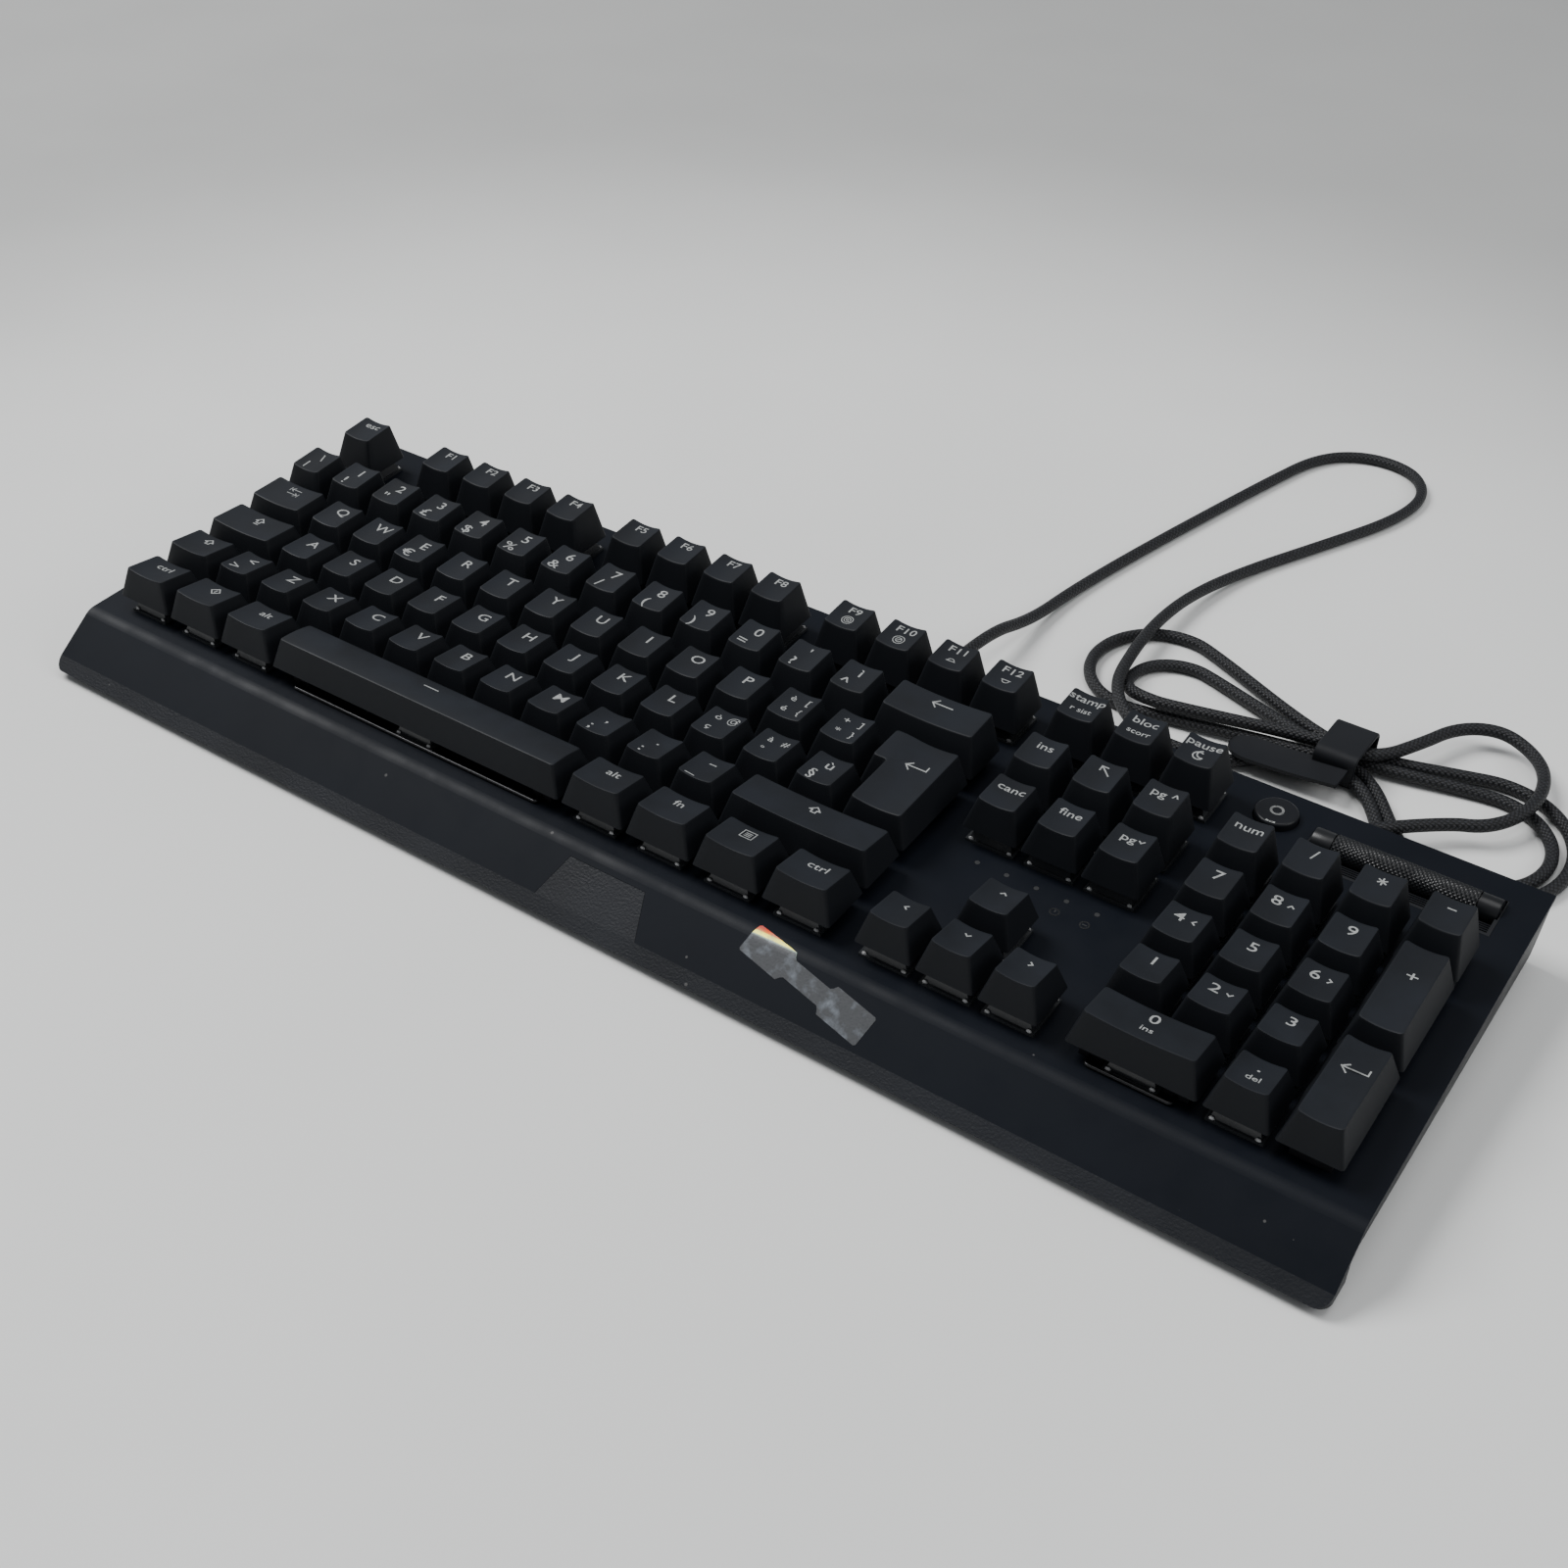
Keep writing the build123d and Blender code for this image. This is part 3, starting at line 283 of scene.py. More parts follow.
def read_mesh(curve):
    """Points and faces of the mesh that a curve or a text makes; the curve is then taken away."""
    holder = bpy.data.objects.new(curve.name, curve)
    bpy.context.scene.collection.objects.link(holder)
    mesh = bpy.data.meshes.new_from_object(holder)
    points = np.empty(len(mesh.vertices) * 3)
    mesh.vertices.foreach_get("co", points)
    faces = [list(face.vertices) for face in mesh.polygons]
    bpy.data.objects.remove(holder)
    bpy.data.curves.remove(curve)
    bpy.data.meshes.remove(mesh)
    return points.reshape(-1, 3), faces


def add_piece(name, parts, materials, body, stands_for=(), sharp=math.radians(42)):
    """Puts parts, each with points in millimetres and its faces, into one mesh that rides on a body."""
    starts = np.cumsum([0] + [len(part["points"]) for part in parts]).tolist()
    faces, paint = [], []
    for part, start in zip(parts, starts):
        for block in part["faces"]:
            if isinstance(block, np.ndarray):
                faces += (block + start).tolist()
            else:
                faces += [[i + start for i in face] for face in block]
            paint += [part["paint"]] * len(block)
    mesh = bpy.data.meshes.new(name)
    mesh.from_pydata(np.vstack([part["points"] for part in parts]) * MM, [], faces)
    mesh.polygons.foreach_set("material_index", paint)
    if "corner_uv" in parts[0]:
        layer = mesh.uv_layers.new(name="UVMap")
        layer.data.foreach_set("uv", np.concatenate([part["corner_uv"].reshape(-1) for part in parts]))
    mesh.shade_smooth()
    mesh.set_sharp_from_angle(angle=sharp)
    for material in materials:
        mesh.materials.append(material)
    piece = bpy.data.objects.new(name, mesh)
    bpy.context.scene.collection.objects.link(piece)
    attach(piece, body)
    if stands_for:
        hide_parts(*stands_for)
    return piece


# ---------------------------------------------------------------- materials
def tinted(colour, factor):
    return tuple(min(1, c * factor) for c in colour[:3]) + (1,)


class Finish:
    """A material as it is made: its nodes, and short ways to add, join and finish them."""

    def __init__(self, name):
        self.material = bpy.data.materials.get(name) or bpy.data.materials.new(name)
        self.material.use_nodes = True
        self.tree = self.material.node_tree
        self.place = self.add("TexCoord")
        self.where = self.place.outputs["Object"]

    def join(self, node, inputs):
        """Sets a node's inputs to plain values, or joins them to the outputs of other nodes."""
        for key, value in dict(inputs).items():
            if isinstance(value, bpy.types.NodeSocket):
                self.tree.links.new(value, node.inputs[key])
            else:
                node.inputs[key].default_value = value
        return node

    def add(self, kind, inputs=(), **settings):
        node = self.tree.nodes.new("ShaderNode" + kind)
        for key, value in settings.items():
            setattr(node, key, value)
        return self.join(node, inputs)

    def maths(self, operation, *values):
        return self.add("Math", enumerate(values), operation=operation).outputs[0]

    def mix(self, share, first, second):
        return self.add("Mix", {0: share, 6: first, 7: second}, data_type="RGBA").outputs[2]

    def ramp(self, value, low, high, to_low=0, to_high=1, **settings):
        """Straight change from one value to another while the input goes from low to high."""
        return self.add("MapRange", {"Value": value, "From Min": low, "From Max": high,
                                     "To Min": to_low, "To Max": to_high}, **settings).outputs["Result"]

    def noise(self, scale, detail=2):
        return self.add("TexNoise", {"Vector": self.where, "Scale": scale, "Detail": detail}).outputs["Fac"]

    def blotches(self, scale, low, high):
        """Slow variation between two values, from fractal noise."""
        return self.ramp(self.noise(scale, 3), 0.35, 0.65, low, high)

    def parts_of(self, value, axis):
        return self.add("SeparateXYZ", {0: value}).outputs[axis]

    def done(self, colour, roughness, bump=None, **others):
        """Joins the shader's inputs; the bump is its height, strength and depth in metres."""
        inputs = {"Base Color": colour, "Roughness": roughness}
        inputs |= {key.replace("_", " "): value for key, value in others.items()}
        if bump:
            height, strength, depth = bump
            node = self.add("Bump", {"Height": height, "Strength": strength, "Distance": depth})
            inputs["Normal"] = node.outputs["Normal"]
        self.join(self.tree.nodes["Principled BSDF"], inputs)
        return self.material


def moulded(name, colour, roughness, grain, depth, spread=0.18, dust=0.0, metallic=0.0, specular=0.22):
    """Moulded or coated surface: colour that varies slowly, roughness that varies faster, a fine grain as a
    bump, and dust specks, where cells of a random pattern lie near their centre."""
    finish = Finish(name)
    shade = finish.mix(finish.blotches(24, 0, 1), tinted(colour, 1 - spread), tinted(colour, 1 + spread))
    if dust:
        cells = finish.add("TexVoronoi", {"Vector": finish.where, "Scale": 260}).outputs
        chosen = finish.add("SeparateColor", {"Color": cells["Color"]}).outputs["Red"]
        near = finish.maths("LESS_THAN", cells["Distance"], 0.13)
        speck = finish.maths("MULTIPLY", near, finish.maths("LESS_THAN", chosen, dust))
        shade = finish.mix(speck, shade, (0.07, 0.07, 0.07, 1))
    return finish.done(shade, finish.blotches(90, roughness - 0.05, roughness + 0.05),
                       (finish.noise(1 / (grain * MM)), 0.6, depth * MM),
                       Metallic=metallic, Specular_IOR_Level=specular)


def keycap_material(colour):
    """Satin keycap plastic, a little smoother and paler where fingers polish the upward faces; the paler
    colour laid on every upward face is partly that wear and partly a painted sheen.
    """
    finish = Finish("keycap_plastic")
    facing = finish.parts_of(finish.add("NewGeometry").outputs["Normal"], "Z")
    polish_and_sheen = finish.maths("MULTIPLY", finish.ramp(facing, 0.75, 0.97), finish.blotches(60, 0.2, 1))
    # painted sheen: upward faces get a paler colour, broken up by blotchy polish wear
    shade = finish.mix(polish_and_sheen, tinted(colour, 0.8), tinted(colour, 1.5))
    return finish.done(shade, finish.ramp(polish_and_sheen, 0, 1, 0.55, 0.42), (finish.noise(4500), 0.35, 0.00004),
                       Specular_IOR_Level=0.2)


@functools.lru_cache
def legend_material(colour):
    """Pale translucent window plastic of the legends, a little uneven."""
    finish = Finish("legend_window")
    shade = finish.mix(finish.blotches(900, 0, 1), tinted(colour, 0.8), tinted(colour, 1.1))
    return finish.done(shade, 0.4)


def braid_material(colour):
    """Braided nylon sleeve. Two families of strands wind round the cord, u being the length and v the share
    of a turn; each diamond between them rises as |sin|·|sin| and is a little lighter at its top, a painted
    highlight, with painted shade in the dips between, broken by random flecks."""
    finish = Finish("nylon_braid")
    uv = finish.place.outputs["UV"]
    along = finish.maths("MULTIPLY", finish.parts_of(uv, "X"), math.pi / (BRAID_PITCH * MM))
    around = finish.maths("MULTIPLY", finish.parts_of(uv, "Y"), math.pi * BRAID_COUNT)
    waves = [finish.maths("ABSOLUTE", finish.maths("SINE", finish.maths(operation, along, around)))
             for operation in ("ADD", "SUBTRACT")]
    height = finish.maths("MULTIPLY", *waves)
    lit = finish.maths("MULTIPLY", height, finish.blotches(700, 0.7, 1.5))
    # painted highlight on each diamond's top and painted shade between the diamonds, following the bump's
    # height
    return finish.done(finish.mix(lit, tinted(colour, 0.3), tinted(colour, 7)), 0.5, (height, 0.8, 0.00025),
                       Specular_IOR_Level=0.3)


SILVER, SILVER_GLINT = (0.06, 0.063, 0.068, 1), (0.2, 0.225, 0.26, 1)
SHIMMER = ((0.2, (0.8, 0.2, 0.02, 1)), (0.24, (0.95, 0.85, 0.1, 1)), (0.34, (0.9, 0.85, 0.15, 1)),
           (0.37, (0.22, 0.3, 0.25, 1)))  # places along the seal's end, and their colours


def foil_material():
    """Silver foil seal, finely crackled, with painted glints in random spots, whose upper left end shimmers
    from yellow to red.
    """
    finish = Finish("foil")
    uv = finish.place.outputs["UV"]
    sweep = finish.maths("MULTIPLY_ADD", finish.parts_of(uv, "X"), 1.15, finish.parts_of(uv, "Y"))
    band = finish.add("ValToRGB", {"Fac": sweep})
    stops = band.color_ramp.elements
    stops[0].position, stops[0].color = 0.08, (0.8, 0.06, 0.02, 1)
    stops[1].position, stops[1].color = 0.42, SILVER
    for position, colour in SHIMMER:
        stops.new(position).color = colour
    # painted glints: random spots of the foil's colour turned to the paler SILVER_GLINT
    painted_glints = finish.ramp(finish.noise(260, 4), 0.5, 0.75, 0, 0.7)
    crackle = finish.noise(1600, 3)
    return finish.done(finish.mix(painted_glints, band.outputs["Color"], SILVER_GLINT),
                       finish.ramp(crackle, 0, 1, 0.25, 0.55), (crackle, 0.5, 0.00005), Metallic=0.3)


def floor_material(colour):
    """Pale tabletop, faintly smudged, with a painted pool of light: brightest round the object, and painted
    shade falling off to grey further out.
    """
    finish = Finish("pale_table")
    away = finish.add("VectorMath", {0: finish.where}, operation="LENGTH").outputs["Value"]
    # painted light falloff: the table's colour darkens with distance from the middle
    painted_falloff = finish.ramp(away, 0.3, 0.66, interpolation_type="SMOOTHSTEP")
    near = finish.mix(finish.blotches(5, 0, 1), tinted(colour, 0.97), tinted(colour, 1))
    return finish.done(finish.mix(painted_falloff, near, tinted(colour, 0.55)), finish.blotches(12, 0.45, 0.6),
                       Specular_IOR_Level=0.3)


# ---------------------------------------------------------------- keycaps
def rectangle_corners(width):
    def corners(front, back, inset):
        x = width * U / 2 - inset
        return [(-x, front), (x, front), (x, back), (-x, back)]
    return corners


def enter_corners(front, back, inset):
    """Corners of the stepped Enter key, whose rear part reaches further left."""
    middle = (ENTER_LEFT_LOW + ENTER_RIGHT) / 2
    low, high, right = ((u - middle) * U for u in (ENTER_LEFT_LOW, ENTER_LEFT_HIGH, ENTER_RIGHT))
    return [(low + inset, front), (right - inset, front), (right - inset, back), (high + inset, back),
            (high + inset, inset), (low + inset, inset)]


class Cap:
    """One keycap's measures: its corners, and the sloping, hollowed top face."""

    def __init__(self, key, settings):
        row, _, width, span = key
        self.stepped = (row, width, span) == ("C", ENTER_RIGHT - ENTER_LEFT_LOW, 2)
        self.corners = enter_corners if self.stepped else rectangle_corners(width)
        self.bar = width > 6
        shift = (span - 1) * U / 2
        back_row = chr(ord(row) + span - 1)
        self.front_z, self.front_y = SKIRT_Z + PROFILE[row][0], PROFILE[row][2] - shift
        self.back_z, self.back_y = SKIRT_Z + PROFILE[back_row][1], PROFILE[back_row][3] + shift
        self.skirt_y = span * U / 2 - SKIRT_INSET
        self.half_width = width * U / 2 - TOP_INSET
        self.dish = settings.dish_depth / MM
        self.crown = settings.bar_crown / MM
        self.slope = (self.back_z - self.front_z) / (self.back_y - self.front_y)
        self.middle_y = (self.front_y + self.back_y) / 2

    def plane_z(self, y):
        return self.front_z + (y - self.front_y) * self.slope

    def top_z(self, x, y):
        """Height of the top face: its sloping plane less a trough along y, dish·(1 − (x/half width)²);
        the space bar has a crown along x instead, crown·(1 − (y/half depth)²)."""
        if self.bar:
            half = (self.back_y - self.front_y) / 2
            return self.plane_z(y) - self.crown * ((y - self.middle_y) / half) ** 2
        return self.plane_z(y) - self.dish * np.clip(1 - (x / self.half_width) ** 2, 0, 1)


def cap_shell(cap, settings):
    """Keycap as a stack of rings: round the inside of the roof, down the inner wall, round the skirt's rim,
    up the outer wall, over the rounded top edge, and in over the dished top in ever smaller outlines."""
    edge, corner = settings.edge_radius / MM, settings.corner_radius / MM
    hub = np.array([0, U / 3 if cap.stepped else cap.middle_y])

    def outline(inset, front, back, scale=1.0):
        flat = rounded_outline(cap.corners(front, back, inset), corner, 8, 3)
        return hub + (flat - hub) * scale

    def skirt(inset, z):
        flat = outline(SKIRT_INSET + inset, inset - cap.skirt_y, cap.skirt_y - inset)
        return at_height(flat, z)

    def top(inset, drop, scale=1.0):
        flat = outline(TOP_INSET + inset, cap.front_y + inset, cap.back_y - inset, scale)
        return np.column_stack([flat, cap.top_z(*flat.T) - drop])

    def roof():
        flat = outline(TOP_INSET + CAP_WALL, cap.front_y + CAP_WALL, cap.back_y - CAP_WALL)
        return np.column_stack([flat, cap.plane_z(flat[:, 1]) - CAP_ROOF])

    low, high = skirt(0, SKIRT_Z + edge), top(0, edge)
    wall = [low + (high - low) * share for share in (0, 0.5, 0.94, 1)]
    rim = [skirt(CAP_WALL, SKIRT_Z + 0.1), skirt(CAP_WALL - 0.1, SKIRT_Z), skirt(edge, SKIRT_Z)]
    lip = [top(0.3 * edge, 0.3 * edge), top(edge, 0), top(edge + 0.35, 0)]
    face = [top(edge + 0.35, 0, scale) for scale in (0.85, 0.65, 0.4, 0.15)]
    return shell([roof(), *rim, *wall, *lip, *face])


BOSS_R, BOSS_BORE, BOSS_STEPS = 2.7, 2.15, 20
SWITCH_SLIDER, STABILISER_SLIDER, SLIDER_CORNER = (7.0, 5.6), (5.4, 5.4), 0.4
SLIDER_LEVELS = [(0.8, 0.94), (1.1, 1), (SWITCH_TOP - 0.2, 1), (SWITCH_TOP, 0.96)]
CROSS_LEVELS = [(SWITCH_TOP - 0.2, 1), (STEM_TOP - 0.3, 1), (STEM_TOP, 0.9)]
CROSS_ARM, CROSS_T = 4.1, 1.25


def boss_and_stems(key, cap):
    """The bosses inside the cap and the cross-headed stems of the switch and stabilisers under them."""
    _, _, width, span = key
    reach = STABILISER_REACH[2] if span == 2 else STABILISER_REACH.get(width)
    offsets = [(0, 0)]
    if reach:
        offsets += [(0, -reach), (0, reach)] if span == 2 else [(-reach, 0), (reach, 0)]
    ring = np.array(circle(1, steps=BOSS_STEPS)[:-1])
    rim = SWITCH_TOP + 0.1
    bosses, stems = [], []
    for x, y in offsets:
        roof = cap.plane_z(y) - CAP_ROOF + 0.3
        walls = ((BOSS_BORE, roof), (BOSS_BORE, rim), (BOSS_R, rim), (BOSS_R, roof))
        bosses.append(shifted(hoop([at_height(ring * r, z) for r, z in walls]), x, y, 0))
        size = SWITCH_SLIDER if (x, y) == (0, 0) else STABILISER_SLIDER
        stems.append(shifted(prism(rounded_outline(rectangle(*size), SLIDER_CORNER), SLIDER_LEVELS), x, y, 0))
        for arm in ((CROSS_ARM, CROSS_T), (CROSS_T, CROSS_ARM)):
            stems.append(shifted(prism(rectangle(*arm), CROSS_LEVELS), x, y, 0))
    return bosses, stems


# ---------------------------------------------------------------- legends
def circle(radius, x=0.0, y=0.0, start=0, stop=360, steps=16):
    """Points round a circle or an arc of it, angles in degrees."""
    a = np.radians(np.linspace(start, stop, steps + 1))
    return [(x + radius * math.cos(t), y + radius * math.sin(t)) for t in a]


ARROW_HEAD = [(-1.3, 1.3), (-2.6, 0), (-1.3, -1.3)]
SHIFT = [(0, 1.4), (1.4, 0), (0.6, 0), (0.6, -1.0), (-0.6, -1.0), (-0.6, 0), (-1.4, 0), (0, 1.4)]
SYMBOLS = {
    "back": [[(2.8, 0), (-2.6, 0)], ARROW_HEAD],
    "enter": [[(2.8, 1.5), (2.8, 0), (-2.6, 0)], ARROW_HEAD],
    "tab": [[(-1.7, 1), (1.8, 1)], [(-0.8, 1.7), (-1.7, 1), (-0.8, 0.3)], [(-2.1, 1.7), (-2.1, 0.3)],
            [(1.7, -1), (-1.8, -1)], [(0.8, -0.3), (1.7, -1), (0.8, -1.7)], [(2.1, -0.3), (2.1, -1.7)]],
    "shift": [SHIFT],
    "caps": [SHIFT, [(-0.7, -1.7), (0.7, -1.7)]],
    "up": [[(-1.1, -0.5), (0, 0.6), (1.1, -0.5)]],
    "down": [[(-1.1, 0.5), (0, -0.6), (1.1, 0.5)]],
    "left": [[(0.6, 1.1), (-0.6, 0), (0.6, -1.1)]],
    "right": [[(-0.6, 1.1), (0.6, 0), (-0.6, -1.1)]],
    "home": [[(1.4, -1.4), (-1.2, 1.2)], [(-1.2, -0.3), (-1.2, 1.2), (0.3, 1.2)]],
    "menu": [[(-1.6, 1.4), (1.6, 1.4), (1.6, -1.4), (-1.6, -1.4), (-1.6, 1.4)],
             [(-0.8, 0.6), (0.8, 0.6)], [(-0.8, 0), (0.8, 0)], [(-0.8, -0.6), (0.8, -0.6)]],
    "spark": [[(0, 1.5), (1.5, 0), (0, -1.5), (-1.5, 0), (0, 1.5)], [(0, 0.5), (0, -0.5)]],
    "bar": [[(0, 1.3), (0, -1.3)]],
    "dash": [[(-2.2, 0), (2.2, 0)]],
    "minus": [[(-0.8, 0), (0.8, 0)]],
    "star": [[(0, 1), (0, -1)], [(-0.87, 0.5), (0.87, -0.5)], [(-0.87, -0.5), (0.87, 0.5)]],
    "moon": [circle(1.3, 0, 0, 60, 330), circle(1.25, 0.75, 0.65, 110, 280)],
    "record": [circle(1.5), circle(0.9), circle(0.3)],
    "target": [circle(1.5), [(-0.5, -0.5), (0.5, 0.5)], circle(0.8)],
    "dim": [circle(0.9, 0, -0.4, 0, 180), [(-1.2, -0.5), (1.2, -0.5)]],
    "bright": [circle(0.9, 0, 0.2, 180, 360), [(-1.2, 0.3), (1.2, 0.3)]],
    "at": [circle(1.5, 0, 0, 20, 320), circle(0.7), [(0.8, 0.8), (0.9, -0.6), (1.4, -0.2)]],
}
ARROWS = ("up", "down", "left", "right")
FINE = ("record", "target", "dim", "bright", "menu", "at", "tab")  # drawn with the finer pen
FINE_PEN = 0.6
WORD_HEIGHT, LETTER_HEIGHT, SMALL_HEIGHT, GRID_HEIGHT = 3.0, 3.9, 2.1, 2.6
LETTER_STRETCH, LETTER_BOLD = 1.2, 0.018  # width over height of the built-in font, and added stroke
SYMBOL_SCALE, ARROW_SCALE = 1.25, 0.7
CAP_SHARE = 0.73  # height of a capital, as a share of the text size
LEGEND_PROUD = 0.03  # how far a legend stands over the cap
WORD_SHIFT, ARROW_SHIFT = -1.2, 2.6  # a word and the arrow after it, from the middle of the two
# Middle of each legend on a key, from the middle of its top face.
CENTRAL, CENTRAL_TALL, BELOW_LEFT, BELOW_WIDE = (0.3, 2.5), (0.3, 5.0), (-2.3, -3.2), (0.2, -3.2)
QUARTERS = [(-2.0, 3.0), (-2.0, -2.6), (3.2, 3.0), (3.2, -2.6)]
STACKED = [(0.2, 3.2), (0.2, -1.8)]
BESIDE_ARROW = [(-1.6, 2.4), None, (2.6, 1.6)]


@functools.lru_cache
def letters(text, height):
    """A word as thin closed slabs, centred, in millimetres."""
    curve = bpy.data.curves.new("letters", "FONT")
    curve.body, curve.size = text, height / CAP_SHARE
    curve.extrude, curve.resolution_u, curve.align_x = LEGEND_T / 2, 3, "CENTER"
    curve.offset = LETTER_BOLD
    points, faces = read_mesh(curve)
    _, first, merged = np.unique(np.round(points, 4), axis=0, return_index=True, return_inverse=True)
    faces = [list(dict.fromkeys(merged.reshape(-1)[face].tolist())) for face in faces]
    stretched = points[first] * (LETTER_STRETCH, 1, 1) - (0, height / 2, 0)
    return {"points": stretched, "faces": [[face for face in faces if len(face) > 2]], "paint": 1}


def strokes(lines, width, scale=1.0, paint=1):
    """Drawn symbol: every straight run of its lines is a thin bar as wide as the pen."""
    bars = []
    for line in lines:
        line = scale * np.asarray(line, float)
        for start, stop in zip(line, line[1:]):
            length = np.linalg.norm(stop - start)
            along = (stop - start) / length
            across = np.array([-along[1], along[0]])
            bar = np.array(rectangle(length + width, width))
            flat = (start + stop) / 2 + bar[:, :1] * along + bar[:, 1:] * across
            bars.append(prism(flat, [(-LEGEND_T / 2, 1), (LEGEND_T / 2, 1)], paint))
    return bars


def legend_places(key, words):
    """Where the legends of a key go on its top face, from its middle."""
    row, _, width, span = key
    if len(words) == 3 and not words[1]:
        return BESIDE_ARROW
    if row == "F" or (len(words) == 2 and words[1] in ("ins", "del")):
        return STACKED
    if len(words) > 2:
        return QUARTERS
    return [CENTRAL if span == 1 else CENTRAL_TALL, BELOW_WIDE if width > 1.5 else BELOW_LEFT]


def legend_height(word, words, is_first):
    if len(words) > 2 and words[1]:
        return GRID_HEIGHT
    if len(word) == 1:
        return LETTER_HEIGHT
    return WORD_HEIGHT if is_first or word.startswith("@") else SMALL_HEIGHT


def drawn(word, height, pen_width):
    """A word, a symbol, or a word with a symbol after it, about its own middle."""
    lead, _, name = word.partition("@")
    if not name:
        return [letters(word, height)]
    pen = pen_width / MM * (FINE_PEN if name in FINE else 1)
    bars = strokes(SYMBOLS[name], pen, ARROW_SCALE if name in ARROWS else SYMBOL_SCALE)
    if not lead:
        return bars
    return [shifted(bar, ARROW_SHIFT, 0, 0) for bar in bars] + [
        shifted(letters(lead.strip(), height), WORD_SHIFT, 0, 0)]


def legend_parts(key, cap, text, settings):
    """The legends of one key, laid on its top face: x as drawn, y along the slope, z just proud of it."""
    words = text.replace("~", " ").split("|")
    found = []
    for n, (word, place) in enumerate(zip(words, legend_places(key, words))):
        def laid(points, place=place):
            x = points[:, 0] + place[0]
            y = cap.middle_y + (points[:, 1] + place[1]) / math.hypot(1, cap.slope)
            return np.column_stack([x, y, cap.top_z(x, y) + points[:, 2] - LEGEND_T / 2 + LEGEND_PROUD])

        if word:
            height = legend_height(word, words, n == 0)
            found += [moved(part, laid) for part in drawn(word, height, settings.pen_width)]
    return found


# ---------------------------------------------------------------- settings
class KeycapSettings(bpy.types.PropertyGroup):
    """Sizes and colours of the keycaps"""

    edge_radius: FloatProperty(name="Edge radius", description="Rounding of the top face's edge",
                               default=0.00034, unit="LENGTH")
    corner_radius: FloatProperty(name="Corner radius", description="Rounding of the upright corners",
                                 default=0.0009, unit="LENGTH")
    dish_depth: FloatProperty(name="Dish depth", description="Hollow of the top face at its middle",
                              default=0.0009, unit="LENGTH")
    bar_crown: FloatProperty(name="Bar crown", description="Crown of the space bar", default=0.0005,
                             unit="LENGTH")
    pen_width: FloatProperty(name="Pen width", description="Stroke of the drawn symbols", default=0.00044,
                             unit="LENGTH")
    cap_colour: FloatVectorProperty(name="Cap colour", description="Colour of the keycap plastic",
                                    default=(0.008, 0.0095, 0.0125), subtype="COLOR")
    legend_colour: FloatVectorProperty(name="Legend colour", description="Colour of the legend windows",
                                       default=(0.33, 0.34, 0.335), subtype="COLOR")


class BodySettings(bpy.types.PropertyGroup):
    """Colours of the plate, the case and the cable"""

    plate_colour: FloatVectorProperty(name="Plate colour", description="Colour of the anodised plate",
                                      default=(0.0032, 0.0048, 0.0085), subtype="COLOR")
    case_colour: FloatVectorProperty(name="Case colour", description="Colour of the moulded case",
                                     default=(0.0065, 0.0072, 0.009), subtype="COLOR")
    cable_colour: FloatVectorProperty(name="Cable colour", description="Colour of the braided sleeve",
                                      default=(0.0032, 0.0034, 0.004), subtype="COLOR")
    tie_colour: FloatVectorProperty(name="Tie colour", description="Colour of the rubber tie",
                                    default=(0.008, 0.009, 0.0115), subtype="COLOR")


class StageSettings(bpy.types.PropertyGroup):
    """Floor and lamps"""

    floor_colour: FloatVectorProperty(name="Floor colour", description="Colour of the table", subtype="COLOR",
                                      default=(0.74, 0.745, 0.735))
    lamp_power: FloatProperty(name="Lamp power", description="Power of the large lamp at the left",
                              default=62.0, unit="POWER")
    fill_power: FloatProperty(name="Fill power", description="Power of the lamp at the right",
                              default=6.0, unit="POWER")
    sky_strength: FloatProperty(name="Sky strength", description="Strength of the even light all round",
                                default=0.3, min=0)


SETTINGS = {"keyboard_caps": KeycapSettings, "keyboard_body": BodySettings, "keyboard_stage": StageSettings}


# ---------------------------------------------------------------- stage and camera
CAMERA_PLACE = (0.28084, -0.40596, 0.38247)
CAMERA_TURN = (53.553, -1.121, 35.407)  # degrees
CAMERA_LENS, CAMERA_SHIFT = 46.04, (0.0297, -0.0146)
FLOOR_HALF, FLOOR_CELLS = 8.0, 8  # half the side of the table top, in metres, and its cells along a side
SKY_COLOUR = (0.93, 0.96, 1, 1)


